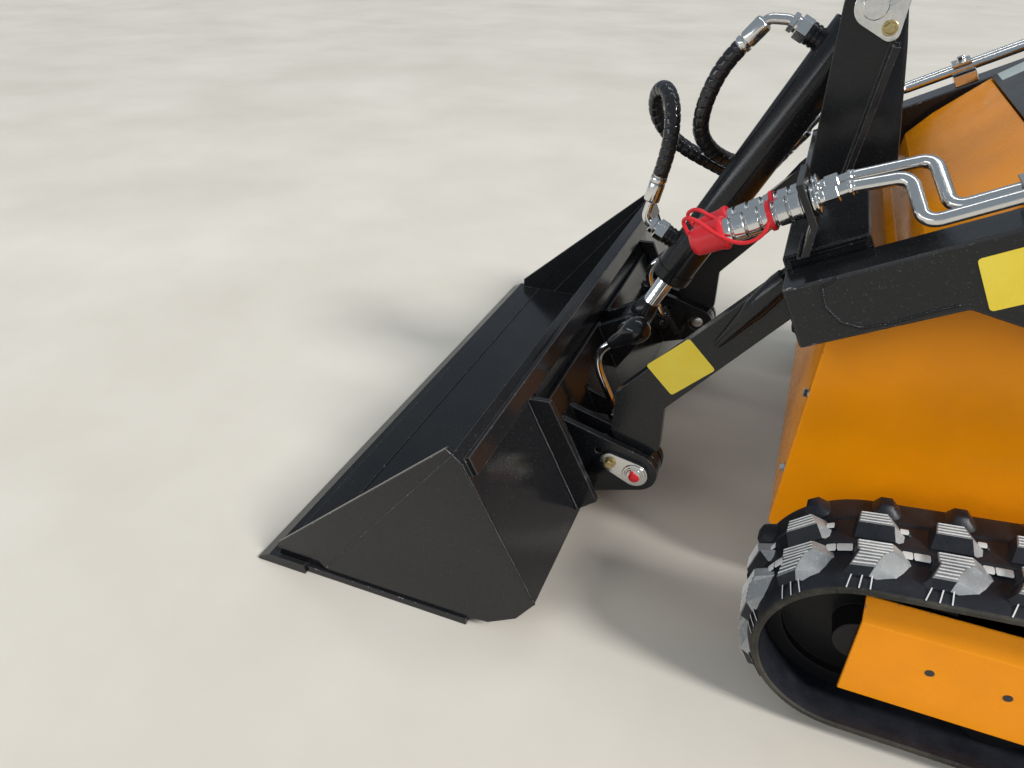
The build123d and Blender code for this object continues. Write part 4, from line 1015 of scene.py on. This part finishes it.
# %% Belt strip
CUTS = 8
belt_section = [(376, -14), (375, -11), (375, -5), (378, -1.5), (384, 0), (414, 0), (416, -1.2), (419, -1.2)]
belt_section += [(421, 0), (458, 0), (460, -1.2), (463, -1.2), (465, 0), (508, 0), (520, -3), (527, -6)]
belt_section += [(530, -8), (530, -13), (528, -15), (380, -15)]
RIM_SIDE = 521
strip = []
for cut_index in range(CUTS + 1):
    run = -pitch / 2 + pitch * cut_index / CUTS
    strip += [Vector((run / 1000, side / 1000, height / 1000)) for side, height in belt_section]
strip_faces = tube_faces(CUTS + 1, len(belt_section))[:-2]
corners = zip(belt_section, belt_section[1:] + belt_section[:1])
kinds = [RIM if min(corner[0], after[0]) > RIM_SIDE else PLAIN for corner, after in corners] * CUTS
points, faces = joined([(strip, strip_faces)] + [shape[:2] for shape in shapes])
for shape in shapes:
    kinds += shape[2]
unit = bpy.data.meshes.new("pitch")
unit.from_pydata(points, [], faces)
unit.attributes.new("kind", "INT", "FACE").data.foreach_set("value", kinds)
with opened(unit) as work:
    tall = [
        edge
        for edge in work.edges
        if edge.is_manifold and min(end.co.z for end in edge.verts) > 0.010 and edge.calc_face_angle() > 0.6
    ]
    bmesh.ops.bevel(work, geom=tall, offset=0.0009, segments=1, affect="EDGES", clamp_overlap=True)
print("faces in one pitch", len(unit.polygons))

# %% [markdown]
# The tree sets the pitches in a flat row and then moves every point onto the path: its run along the row
# becomes a run along the belt, and its height stands square to the path. At the end the kind of each face
# chooses its rubber.

# %% Tree that lays the tread round the path
track_sizes = {"Path": "Object", "Pitch": "Float", "Pitches": "Int", **dict.fromkeys(RUBBERS, "Material")}
track_rule, given, result = rule("rubber track", **track_sizes)
step = add(track_rule, "CombineXYZ", {"X": given["Pitch"]}).outputs[0]
row = grow(track_rule, "MeshLine", {"Count": given["Pitches"], "Offset": step})
copies = grow(track_rule, "InstanceOnPoints", {"Points": row.outputs[0], "Instance": given["Geometry"]})
flat = grow(track_rule, "RealizeInstances", {"Geometry": copies.outputs[0]})
place = add(track_rule, "SeparateXYZ", {0: grow(track_rule, "InputPosition").outputs[0]}).outputs
half_pitch = reckon(track_rule, "MULTIPLY", given["Pitch"], 0.5)
reach = reckon(track_rule, "ADD", place["X"], half_pitch)
route = grow(track_rule, "ObjectInfo", {"Object": given["Path"]}).outputs["Geometry"]
route = grow(track_rule, "MeshToCurve", {"Mesh": route}).outputs[0]
sample = grow(track_rule, "SampleCurve", {"Curves": route}, mode="LENGTH")
track_rule.links.new(reach, sample.inputs["Length"])
sideways = add(track_rule, "CombineXYZ", {"Y": 1.0}).outputs[0]
square = reckoned(track_rule, "CROSS_PRODUCT", sideways, sample.outputs["Tangent"])
square = add(track_rule, "VectorMath", {0: square}, operation="NORMALIZE").outputs[0]
lifted = reckoned(track_rule, "SCALE", square, place["Z"])
across = add(track_rule, "CombineXYZ", {"Y": place["Y"]}).outputs[0]
moved = reckoned(track_rule, "ADD", sample.outputs["Position"], lifted)
moved = reckoned(track_rule, "ADD", moved, across)
bent = grow(track_rule, "SetPosition", {"Geometry": flat.outputs[0], "Position": moved})
merged = grow(track_rule, "MergeByDistance", {"Geometry": bent.outputs[0], "Distance": 0.0002})
kind = grow(track_rule, "InputNamedAttribute", {"Name": "kind"}, data_type="INT").outputs[0]
coat = grow(track_rule, "SetMaterial", {"Geometry": merged.outputs[0], "Material": given[RUBBERS[PLAIN]]})
equal = {"data_type": "INT", "operation": "EQUAL"}
for value in (RUBBED, RIM, SHEEN_FLANK, HAZED):
    same = placed(track_rule, "FunctionNodeCompare", {2: kind, 3: value}, equal)
    values = {"Geometry": coat.outputs[0], "Material": given[RUBBERS[value]], "Selection": same.outputs[0]}
    coat = grow(track_rule, "SetMaterial", values)
track_rule.links.new(coat.outputs[0], result["Geometry"])

# %% [markdown]
# The right track is the left one mirrored. Mirroring turns a mesh inside out, so its normals are found
# again.

# %% Both tracks
path_holder = linked("belt_path", wire([path]))
rubbers = {name: finishes[name] for name in RUBBERS}
track_mesh = grown(track_rule, unit, Path=path_holder, Pitch=pitch / 1000, Pitches=pitches, **rubbers)
for side in ("left", "right"):
    mesh = track_mesh.copy()
    with opened(mesh) as work:
        if side == "right":
            for vertex in work.verts:
                vertex.co.y = -vertex.co.y
        outward(work)
    mesh.set_sharp_from_angle(angle=radians(30))
    track = linked("track_" + side + "_looks", mesh)
    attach(track, "chassis")
    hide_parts("track_" + side)
bpy.data.objects.remove(path_holder)
print("track faces", len(track_mesh.polygons))

# %% [markdown]
# ## Elbows, tubes and couplers
# The hose ends are crimped into plated ferrules. From each, a bent steel tube with hexagon nuts runs to a
# port.

# %% Ferrules and elbows
TUBE_RADIUS = 7.5
TUBE_BEND = 16
UPPER_PORT, LOWER_PORT = 70.0, 422.0
FERRULE = [(0, 9.0), (0.6, 11.0), (2, 12.8), (4, 13.3), (31, 13.3), (33, 12.6), (34, 10.8), (36, 10.8)]
FERRULE += [(36.6, 13.4), (41.4, 13.4), (42.6, 12.8), (43, 11.0), (45, 11.0)]
GLAND = [(0, 31), (1.5, 34), (18, 34), (21.5, 31)]
EYE = [(0, 26.2), (1.4, 27.8), (43.4, 27.8), (44.8, 26.2)]
NECK = [(0, 21), (4, 22), (14, 22), (27, 18.4), (34, 16.4)]
BOSS = [(0, 16)]
for groove in (5, 12):
    BOSS += [(groove, 16), (groove + 1, 14.6), (groove + 2, 14.6), (groove + 3, 16)]
BOSS.append((20, 16))


def ferrule(end, way):
    """A crimped sleeve that ends a hose, its open end at a place."""
    return turned(end - way * 0.045, end, FERRULE, 32)


elbow_runs, elbow_nuts, ferrules, bosses = [], [], [], []
for port, corners in (
    (UPPER_PORT, [on_tilt(UPPER_PORT, 80), spot(591.8, 0, 752.6), spot(*hose_routes["hose_top"][0])]),
    (LOWER_PORT, [on_tilt(LOWER_PORT, 90), spot(*hose_routes["hose_low"][0])]),
):
    face = on_tilt(port, 48.3)
    way = (on_tilt(port, 60) - face).normalized()
    elbow_runs.append([face, *corners])
    elbow_nuts.append(nut(face, face + way * 0.017, 30))
    elbow_nuts.append(turned(face + way * 0.017, face + way * 0.021, [(0, 11.5), (4, 11.5)], 28))
    elbow_nuts.append(nut(face + way * 0.021, face + way * 0.029, 24))
    bosses.append(turned(on_tilt(port, 28), on_tilt(port, 48.2), BOSS, 36))
    last = (corners[-1] - corners[-2]).normalized()
    ferrules.append(ferrule(corners[-1], last))
bosses.append(turned(on_tilt(460), on_tilt(481.5), GLAND, 48))
elbow = tubes("elbow_tubes", "tilt_barrel", "zinc", elbow_runs, TUBE_RADIUS, TUBE_BEND)
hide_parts("hose_elbows")
piece("elbow_nuts", "tilt_barrel", "zinc", elbow_nuts, 0.4, 30)
piece("elbow_ferrules", "tilt_barrel", "zinc", ferrules, 0, 40)
piece("port_bosses", "tilt_barrel", "black", bosses, 0, 40)
eye = [spindle(TILT_EYE, -22.4, 22.4, EYE, 56), turned(on_tilt(573), on_tilt(539), NECK, 48)]
piece("rod_eye", "tilt_rod", "black", eye, 0, 40)
print("elbows", len(elbow_runs), "ferrules", len(ferrules))

# %% [markdown]
# On the left arm two quick couplers look forward under red dust caps. Their tubes step over the cross
# member and run back along the arm, as the cylinders' tubes do on the right arm.

# %% Tubes along the arms
COUPLER = (690.0, 603.0)
COUPLER_SLOPE = radians(29.5)
FERRULE_LOW = (639.0, 504.0)
FERRULE_HIGH = (668.0, 547.0)
COUPLER_SIDES = (284, 322)
TUBE_LIFT = 25
TUBE_END = 1205
SLEEVE = [(0, 9.4), (3, 9.4), (4, 8.4), (7, 8.4)]


def on_coupler(run, side):
    """A place along a coupler, forward of its bulkhead plate."""
    return spot(COUPLER[0] - run * cos(COUPLER_SLOPE), side, COUPLER[1] - run * sin(COUPLER_SLOPE))


def over_arm(inner, outer, rise, high, low):
    """A tube's last corners: over the cross member, down onto the arm's edge and back along it."""
    down, end = arm_spot(low, TUBE_LIFT, outer), arm_spot(TUBE_END, TUBE_LIFT, outer)
    return [arm_spot(high, rise, inner), down, end]


arm_runs, arm_nuts = [], []
for inner, (outer, high, low) in zip(COUPLER_SIDES, ((346, 170, 174), (368, 145, 148))):
    over = over_arm(inner, outer, 63, high, low)
    arm_runs.append([on_coupler(-24.3, inner), on_coupler(-50, inner), *over])
    arm_nuts.append(nut(on_coupler(-20.5, inner), on_coupler(-36, inner), 19.5))
    arm_nuts.append(turned(on_coupler(-46, inner), on_coupler(-53, inner), SLEEVE, 28))
for inner, outer, high, low in ((-292, -346, 138, 150), (-326, -368, 105, 117)):
    knee = along(FERRULE_LOW, FERRULE_HIGH, 96)
    start = beside(FERRULE_LOW, inner)
    way = (beside(FERRULE_HIGH, inner) - start).normalized()
    over = over_arm(inner, outer, 51, high, low)
    arm_runs.append([start, beside(knee, inner), *over])
    arm_nuts.append(ferrule(start, -way))
    arm_nuts.append(nut(start + way * 0.034, start + way * 0.051, 24))
arm_tubes = tubes("arm_tubes_looks", "lift_arms", "zinc", arm_runs, TUBE_RADIUS, TUBE_BEND)
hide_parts("arm_tubes")
piece("arm_tube_nuts", "lift_arms", "zinc", arm_nuts, 0.4, 30)

# %% [markdown]
# A quick coupler is a turned steel body with grooves for the fingers. A disc in front of the bulkhead
# plate and a flanged nut behind it hold it there. It comes off a lathe, so one profile and one spin make
# it here too.

# %% Couplers
COUPLER_BODY = [(0, 12), (0.4, 15.6)]
for groove in (15, 30, 47, 64, 80):
    COUPLER_BODY += [(groove - 1, 15.6), (groove, 14.6), (groove + 0.2, 12.4)]
    COUPLER_BODY += [(groove + 1.8, 12.4), (groove + 2, 14.6), (groove + 3, 15.8)]
COUPLER_BODY += [(91, 15.8), (92, 13.4), (97.7, 13.4)]
DISC = [(0, 15.5), (0.6, 17.8), (2.6, 17.8), (3.2, 16)]
FLANGE = DISC + [(4.0, 16), (4.6, 17.8), (6.6, 17.8), (7.2, 15.5), (8, 9.4), (16, 9.4)]
coupler_bodies = []
for side in COUPLER_SIDES:
    coupler_bodies.append(turned(on_coupler(0.3, side), on_coupler(98, side), COUPLER_BODY, 48))
    coupler_bodies.append(turned(on_coupler(5, side), on_coupler(0.3, side), DISC, 40))
    coupler_bodies.append(turned(on_coupler(-8.3, side), on_coupler(-24.3, side), FLANGE, 40))
couplers = piece("couplers_looks", "lift_arms", "zinc", coupler_bodies, 0.3, 40)
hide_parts("couplers")
print("couplers", len(coupler_bodies), "turned shapes")

# %% [markdown]
# The caps are soft red rubber cups. Each hangs on a strap that is moulded with a ring, and the ring lies
# loosely round the coupler behind the cap.

# %% Dust caps and straps
CAP = [(0, 16.4), (0.6, 19.4), (3, 20.6), (6, 20.2), (9, 18.8), (14, 18.4)]
CAP += [(34, 17.2), (39, 16), (42, 13.6), (43.2, 9), (43.4, 1)]
RING = [(0, 16.6), (1, 18), (5, 18), (6, 16.6)]
BALL = [(0, 0.6), (0.8, 2.6), (2.2, 4.0), (4.2, 4.6), (6.2, 4.0), (7.6, 2.6), (8.4, 0.6)]
caps = [turned(on_coupler(90, side), on_coupler(133, side), CAP, 40) for side in COUPLER_SIDES]
cap_piece = piece("coupler_caps_looks", "lift_arms", "red", caps, 0, 40)
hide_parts("coupler_caps")
straps = [
    [(575, 322, 540), (567, 322, 550), (559, 326, 565), (565, 330, 572), (579, 336, 571), (592, 340, 565)],
    [(575, 284, 540), (566, 284, 548), (557, 286, 560), (565, 290, 569), (575, 296, 571), (590, 302, 566)],
]
straps[0] += [(605, 343, 560), (626, 344, 554), (643, 344, 558), (655, 343, 570), (657, 338, 583)]
straps[0] += [(658, 328, 592), (660, 318, 595)]
straps[1] += [(606, 304, 562), (618, 303, 556), (628, 300, 549), (640, 292, 548), (646, 284, 552)]
strap_runs = [smooth_line([spot(*point) for point in strap]) for strap in straps]
tubes("cap_straps", "lift_arms", "red", strap_runs, 2.4, 0)
rings = [turned(on_coupler(40, side), on_coupler(34, side), RING, 40) for side in COUPLER_SIDES]
rings += [turned(run[-1], run[-1] + Vector((0, 0, 0.008)), BALL, 20) for run in strap_runs]
piece("cap_rings", "lift_arms", "red", rings, 0, 40)
print("straps", len(strap_runs))

# %% [markdown]
# ## Pins
# Each arm's foot turns on a plated pin that a keeper plate and one bolt hold against the ear. The pin's
# end carries a grease nipple under a red plastic cap.

# %% Pins of the attach frame
KEEPER_SCREW = (495.0, 160.0)
COLLAR = [(0, 18.5), (1.2, 18.5), (2.0, 17.6), (2.0, 14.6)]
COLLAR += [(0.8, 14.2), (0.8, 12.6), (3.2, 12.0), (4.0, 10.8)]
DOME = [(0, 8.6), (1.2, 8.6), (2.6, 7.4), (3.6, 5.0), (4.0, 1.0)]
keeper = wrapped([(*FOOT_PIN, 21), (*KEEPER_SCREW, 16)])
pins, plates, grease_caps, rows = [], [], [], []
for way in (1, -1):
    pins.append(spindle(FOOT_PIN, way * 245, way * 300, [(0, 13), (1, 15), (54, 15), (55, 14)], 40))
    plates.append(cut(keeper, way * 291.3, way * 297.3))
    plates.append(spindle(FOOT_PIN, way * 297.2, way * 310, COLLAR, 40))
    grease_caps.append(spindle((535, 144), way * 300.0, way * 310, DOME, 28))
    grease_caps.append(spindle((531, 153), way * 300.0, way * 310, [(0, 3.4), (2.2, 3.2), (3.2, 1.0)], 16))
    rows.append((beside(KEEPER_SCREW, way * 297.5), (0, way, 0), 12))
    pins.append(spindle(TILT_EYE, way * 26, way * 47, [(0, 15), (20, 15), (21, 14)], 36))
    pins.append(spindle(TILT_EYE, way * 37.3, way * 45, [(0, 22), (6.6, 22), (7.7, 20.8)], 36))
    grease_caps.append(spindle(TILT_EYE, way * 45, way * 52, [(0, 6), (1.5, 6), (3, 4), (3.4, 0.8)], 20))
foot_pins = piece("attach_pins_looks", "attachment", "zinc", pins + plates, 0.5, 30)
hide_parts("attach_pins")
piece("grease_caps", "attachment", "red", grease_caps, 0, 50)
screws("keeper_screws", "attachment", "yellow_zinc", rows)
print("pins", len(pins), "keeper screws", len(rows))

# %% [markdown]
# The lock levers are bent chrome rods with a glossy pear grip. Each turns on a small drum beside its lug,
# and a coil spring holds it down.

# %% Lock levers
LEVER_SIDE = 183
LEVER_BENDS = ((474, 172), (456, 210), (438, 246), (433, 272), (443, 294), (470, 314))
DRUM = [(0, 11.2), (1, 12), (14.7, 12), (15.7, 11.2)]
PEAR = [(0, 8.0), (2, 9.6), (10, 10.4), (22, 12.4), (33, 16.2), (43, 19.8), (52, 21.0)]
PEAR += [(60, 20.0), (67, 15.8), (71, 9.6), (72.5, 2)]
lever_runs, lever_parts, grips = [], [], []
for way in (1, -1):
    side = way * LEVER_SIDE
    lever_runs.append(smooth_line([beside(bend, side) for bend in LEVER_BENDS]))
    drum_in, drum_out = beside(LEVER_BENDS[0], side - way * 6.7), beside(LEVER_BENDS[0], side + way * 9)
    lever_parts.append(turned(drum_in, drum_out, DRUM, 32))
    lever_parts.append(nut(drum_out, beside(LEVER_BENDS[0], side + way * 15), 15))
    grips.append(turned(spot(452, side, 300), spot(508, side, 346), PEAR, 40))
levers = tubes("lock_levers_looks", "attachment", "chrome", lever_runs, 6.5, 0)
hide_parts("lock_levers")
piece("lever_drums", "attachment", "zinc", lever_parts, 0.3, 30)
piece("lever_grips", "attachment", "grip", grips, 0, 40)
print("lock levers", len(lever_runs))

# %% [markdown]
# The spring is a thin wire wound between the lever and a post on the ear.

# %% Lever springs
COILS = 14
COIL_STEPS = 12
SPRING_TOP, SPRING_POST = (467, 204), (509, 141)
spring_runs = []
for way in (1, -1):
    head, foot = beside(SPRING_TOP, way * LEVER_SIDE), beside(SPRING_POST, way * LEVER_SIDE)
    axis = (foot - head).normalized()
    across = axis.cross(Vector((0, 1, 0)))
    coil = []
    for index in range(COILS * COIL_STEPS + 1):
        turn = 2 * pi * index / COIL_STEPS
        ring = across * cos(turn) + Vector((0, 1, 0)) * sin(turn)
        coil.append(head.lerp(foot, 0.06 + 0.88 * index / (COILS * COIL_STEPS)) + ring * 0.0055)
    spring_runs.append([head, *coil, foot])
tubes("lever_springs", "attachment", "spring", spring_runs, 1.2, 0)
posts = [spindle(SPRING_POST, way * 178, way * 239.5, [(0, 4), (1, 5), (61, 5)], 20) for way in (1, -1)]
piece("spring_posts", "attachment", "black", posts, 0, 40)
print("springs", len(spring_runs))

# %% [markdown]
# ## Welds and stiffeners
# Weld beads run wherever one plate stands on another. The thin light line down each side plate is the
# seam of the folded bucket, and the one across its floor is where the cutting edge is let in.

# %% Welds of the bucket and its attach frame
# Sides of the beads behind the bucket, the runs where they start and end, and how far out they lie
BACK_BEADS = (
    ((328.4, 341.6), 28, 228, 1.0),
    ((238, 252, 278, 292), 94, 226, 13.0),
    ((167, 177), 104, 150, 13.0),
    ((27, 41), 60, 112, 13.0),
)
seams, beads = [], []
for way in (1, -1):
    for side in (540, 531.6):
        seams.append([spot(350, way * side, 306), spot(124, way * side, 20)])
    inner = [(60, 18.5), (361, 18.5), (391, 24), (430, 50), (455, 84), (371, 258)]
    beads.append([spot(station, way * 531.4, height) for station, height in inner])
    beads.append([on_back(4, -0.5, way * 538.6), on_back(236, -0.5, way * 538.6)])
    for sides, top, low, out in BACK_BEADS:
        for side in sides:
            beads.append([on_back(top, out, way * side), on_back(low, out, way * side)])
seams.append([spot(80, -531, 18.2), spot(80, 531, 18.2)])
welds("bucket_seams", "attachment", "black_edge", seams, 3.0)
welds("bucket_welds", "attachment", "black", beads, 5.0)

# %% [markdown]
# A doubler plate is let into each arm's front, and its weld is ground nearly flat. A half pipe stiffens
# each leg, with a tapered tip, and small plates close the ends of the cross member.

# %% Welds of the arms


def arm_box(first, last, low, high):
    """The outline of a box measured on the lift arm."""
    return [on_arm(run, out) for run, out in oblong(first, last, low, high)]


doubler = [(737, 547), (725, 534), (733, 512), (753, 497), (774, 495), (799, 505), (832, 525), (857, 538)]
flat_beads, beads, pipes, covers = [], [], [], []
half_pipe = [(0, 3.5), (2, 6.0), (10, 7.2), (60, 13), (76, 15.5), (118, 15.5), (130, 14)]
for way in (1, -1):
    flat_beads.append([spot(station, way * 384.6, height) for station, height in doubler])
    for side in (43, 59):
        beads.append([arm_spot(13, 16, way * side), arm_spot(93, 16, way * side)])
    for run in (56.6, 69.4):
        beads.append([arm_spot(run, 16, way * 60), arm_spot(run, 16, way * 96)])
    for side in (254, 276):
        beads.append([arm_spot(-1, -17, way * side), arm_spot(-1, -73, way * side)])
    beads.append([arm_spot(run, out, way * 324) for run, out in ((3, 1), (3, 14), (93, 14), (93, 1))])
    pipes.append(turned(spot(619.5, way * 274, 382.5), spot(690, way * 274, 495), half_pipe, 32))
    covers.append(cut(arm_box(7, 89, 8, -68), *side_pair(way, 314, 322)))
beads.append([arm_spot(21, 16, 262), arm_spot(21, 16, 344)])
welds("doubler_welds", "lift_arms", "black", flat_beads, 4.0)
welds("arm_welds", "lift_arms", "black", beads, 5.5)
piece("leg_stiffeners", "lift_arms", "black", pipes, 0, 40)
piece("cross_covers", "lift_arms", "black", covers, 0.8)
rows = [(spot(744, way * 64.4, 755), (0, way, 0), 12) for way in (1, -1)]
screws("tower_screws", "lift_arms", "yellow_zinc", rows)
print("arm welds", len(beads) + len(flat_beads))

# %% [markdown]
# Three clamps hold each pair of tubes on its arm: a bridge plate over both, a pillar between them, and
# one screw.

# %% Clamps over the arms' tubes
bridges, rows = [], []
for way in (1, -1):
    for run in (230, 620, 1010):
        bridges.append(cut(arm_box(run + 3, run + 31, 33.0, 36.5), *side_pair(way, 333.5, 380.5)))
        bridges.append(cut(arm_box(run + 11, run + 23, 16.5, 33.5), *side_pair(way, 354.6, 359.4)))
        rows.append((arm_spot(run + 17, 36.4, way * 357), (sin(ARM_SLOPE), 0, cos(ARM_SLOPE)), 11))
piece("clamp_bridges", "lift_arms", "zinc", bridges, 0.5)
screws("clamp_screws", "lift_arms", "zinc", rows)
print("clamps", len(rows))

# %% [markdown]
# ## Running gear, body and driver's place
# Bolt circles, vents, louvres, the console's gauges and the step's tread are small, and they give the
# plain sheets their scale. The parts that the photograph doesn't show follow what such machines have.

# %% Screws of the running gear, and painted shade for its holes
SPROCKET = (1640, 212)
BOLT_CIRCLE = 38
rows, hole_shade_discs = [], []
for way in (1, -1):
    for index in range(8):
        turn = radians(45 * index + 20)
        station, height = SPROCKET[0] + BOLT_CIRCLE * cos(turn), SPROCKET[1] + BOLT_CIRCLE * sin(turn)
        rows.append((spot(station, way * 485.2, height), (0, way, 0), 13))
    # Thin black discs on the track frame are painted shade: they stand for the dark inside of its bolt holes.
    for index in range(8):
        place = spot(937 + 81 * index, way * 499.4, 132 if index == 0 else 129)
        hole_shade_discs.append(turned(place, place + Vector((0, way * 0.001, 0)), [(0, 5.2), (1, 5.2)], 24))
    for height in (219, 345):
        rows.append((spot(741.0 + (height - 219) * 0.043, way * 288, height), (1, 0, 0), 10))
screws("chassis_screws", "chassis", "zinc", rows)
piece("frame_holes", "chassis", "plastic", hole_shade_discs, 0, 40)
print("chassis screws", len(rows), "hole_shade_discs", len(hole_shade_discs))

# %% [markdown]
# A louvre is a slit with a pressed lip that lets warm air out and keeps rain off. Each is a thin wedge,
# cut from a side view outline and repeated along the hood. The vents are upright pressed ribs, and the
# latch is a turned knob with a cross handle.

# %% Hood louvres, latch and side vents
HOOD_FRONT, HOOD_BEND, HOOD_REAR = (928.0, 648.0), (1180.0, 812.0), (1560.0, 905.0)
louvres, vents = [], []
for low, high in ((40, 190), (-190, -40)):
    for index in range(9):
        run = 60 + 28 * index
        lip = [(run, 4.0), (run + 3, 7.5), (run + 13, 9.0), (run + 16, 4.0)]
        louvres.append(cut([along(HOOD_BEND, HOOD_REAR, part, out) for part, out in lip], low, high))
piece("hood_louvres", "hood", "hood", louvres, 0.8)
for way in (1, -1):
    for index in range(8):
        station = 1230 + 34 * index
        vents.append(cut(oblong(station, station + 20, 470, 640), *side_pair(way, 299.6, 303.2)))
piece("side_vents", "chassis", "yellow", vents, 1.6)
place = along(HOOD_FRONT, HOOD_BEND, 46, 4.2)
top = along(HOOD_FRONT, HOOD_BEND, 46, 18)
handle = [turned(beside(place, 0), beside(top, 0), [(0, 17), (2, 17), (4, 10), (14, 9), (16.1, 8)], 32)]
handle.append(spindle(top, -34, 34, [(0, 4), (3, 6.5), (65, 6.5), (68, 4)], 20))
piece("hood_latch", "hood", "plastic", handle, 0, 40)
print("louvres", len(louvres), "vents", len(vents))

# %% [markdown]
# Rubber boots close the levers' slots, a pad runs along the console's edge and a grip along the rail. Two
# blank gauges and a switch sit between them. The step has rows of studs, every other row shifted, so that
# a foot finds hold.

# %% Console, rail and step
CONSOLE_TOP, CONSOLE_EDGE = (1690.0, 1140.0), (1880.0, 1050.0)


def on_console(run, out, side):
    """A place on the console's sloping top."""
    return beside(along(CONSOLE_TOP, CONSOLE_EDGE, run, out), side)


BOOT = [(0, 26), (3, 26), (5, 20), (8, 22), (11, 16.5), (14, 18.5), (17, 13), (20, 15), (23, 9.5), (30, 7)]
BEZEL = [(0, 27), (5, 27), (7.5, 25), (7.5, 22.5), (5, 21.5), (5, 1)]
boots = [turned(on_console(105, -1, side), on_console(105, 30, side), BOOT, 32) for side in (-120, 0, 120)]
pad = [(0, 9), (5, 15), (14, 18), (436, 18), (445, 15), (450, 9)]
boots.append(spindle((1893, 1044), -225, 225, pad, 28))
boots.append(spindle((1985, 1165), -190, 190, [(0, 15), (2, 17.5), (378, 17.5), (380, 15)], 28))
piece("console_boots", "chassis", "plastic", boots, 0, 40)
bezels = [turned(on_console(44, -0.5, side), on_console(44, 7, side), BEZEL, 40) for side in (-60, 60)]
switch = [(0, 13), (3, 13), (5, 10), (9, 9.4)]
bezels.append(turned(on_console(44, -0.5, 150), on_console(44, 9, 150), switch, 28))
piece("console_bezels", "chassis", "zinc", bezels, 0, 40)
face = [(0, 21.6), (2.2, 21.6)]
dials = [turned(on_console(44, 3, side), on_console(44, 5.2, side), face, 40) for side in (-60, 60)]
piece("console_dials", "chassis", "pale", dials, 0, 40)
tread = []
for row_index in range(15):
    for index in range(13):
        station = 1992 + 19 * row_index
        side = -210 + 33 * index + (16 if row_index % 2 else 0)
        stud = [(station, 217.5), (station + 14, 217.5), (station + 12, 220.2), (station + 2, 220.2)]
        tread.append(cut(stud, side, side + 6))
piece("step_tread", "step", "black", tread, 0)
print("tread studs", len(tread))

# %% [markdown]
# The engine shows when the hood is up, and the radiator through the grille. An air filter, cooling ribs
# and a muffler stand on the plain block, and thin fins cross both faces of the radiator.

# %% Engine and radiator details
AIR_FILTER = [(0, 70), (6, 74), (60, 74), (68, 66), (72, 40)]
MUFFLER = [(0, 20), (8, 48), (14, 52), (286, 52), (292, 48), (300, 20)]
engine_parts = [turned(spot(1330, -70, 640), spot(1330, -70, 712), AIR_FILTER, 40)]
for index in range(9):
    low = 20 + 22 * index
    engine_parts.append(cut([(1160, 639), (1260, 639), (1250, 676), (1170, 676)], low, low + 4))
piece("engine_top", "chassis", "engine", engine_parts, 0.6)
muffler = [spindle((1480, 700), -150, 150, MUFFLER, 40)]
muffler.append(turned(spot(1480, 60, 640), spot(1480, 60, 700), [(0, 18), (60, 18)], 24))
piece("muffler", "chassis", "cast", muffler, 0, 40)
fins = []
for index in range(60):
    height = 262 + 8.8 * index
    for front in (1787.5, 1849.5):
        fins.append(cut(oblong(front, front + 3, height, height + 1.4), -206, 206))
piece("radiator_fins", "chassis", "fins", fins, 0)
print("fins", len(fins))

# %% [markdown]
# A gland is the screwed collar that seals the rod at the barrel's front end, and two short ports on the
# barrel take the oil in and out.

# %% Lift cylinders' glands
LIFT_EYE, LIFT_BASE = on_arm(273, -158), (1850.0, 740.0)
LIFT_SIDE = 355
LIFT_GLAND = [(0, 29), (1.5, 32.5), (17, 32.5), (19, 28)]


def on_lift(run, out, side):
    """A place along a lift cylinder from its rear pin, and out to its top."""
    return beside(along(LIFT_BASE, LIFT_EYE, run, -out), side)


glands = []
for side in (LIFT_SIDE, -LIFT_SIDE):
    glands.append(turned(on_lift(738, 0, side), on_lift(757, 0, side), LIFT_GLAND, 44))
    for run in (70, 700):
        port = [(0, 12), (10, 12), (12, 10.5)]
        glands.append(turned(on_lift(run, 28, side), on_lift(run, 40, side), port, 28))
piece("lift_glands", "lift_barrels", "black", glands, 0, 40)
print("glands", len(glands))

# %% [markdown]
# ## Labels
# The real machine carries printed labels. Here they stay blank: thin rounded plates with their colour
# only.

# %% Blank labels


def side_label(name, body, finish, centre, slope, width, height, side):
    """A blank label with rounded corners on a plate that faces the machine's left."""
    turn = radians(slope)
    outline = []
    for corner_run, corner_up, first in ((1, 1, 0), (-1, 1, 90), (-1, -1, 180), (1, -1, 270)):
        for index in range(5):
            angle = radians(first + 22.5 * index)
            run = corner_run * (width / 2 - 4) + 4 * cos(angle)
            up = corner_up * (height / 2 - 4) + 4 * sin(angle)
            station = centre[0] + run * cos(turn) - up * sin(turn)
            outline.append((station, centre[1] + run * sin(turn) + up * cos(turn)))
    piece(name, body, finish, [cut(outline, side + 0.15, side + 0.7)], 0, 30)


side_label("leg_label", "lift_arms", "label", (576.5, 337), 45.5, 77, 58, 275)
side_label("arm_label", "lift_arms", "label", (908, 582), 28, 82, 59, 385)
places = [along(HOOD_FRONT, HOOD_BEND, run, out) for run, out in ((14, 4.4), (56, 4.4), (56, 5.0), (14, 5.0))]
piece("hood_label", "hood", "pale", [cut(places, -290, -232)], 0, 30)

# %% Finish
bpy.data.objects.remove(screw_head)
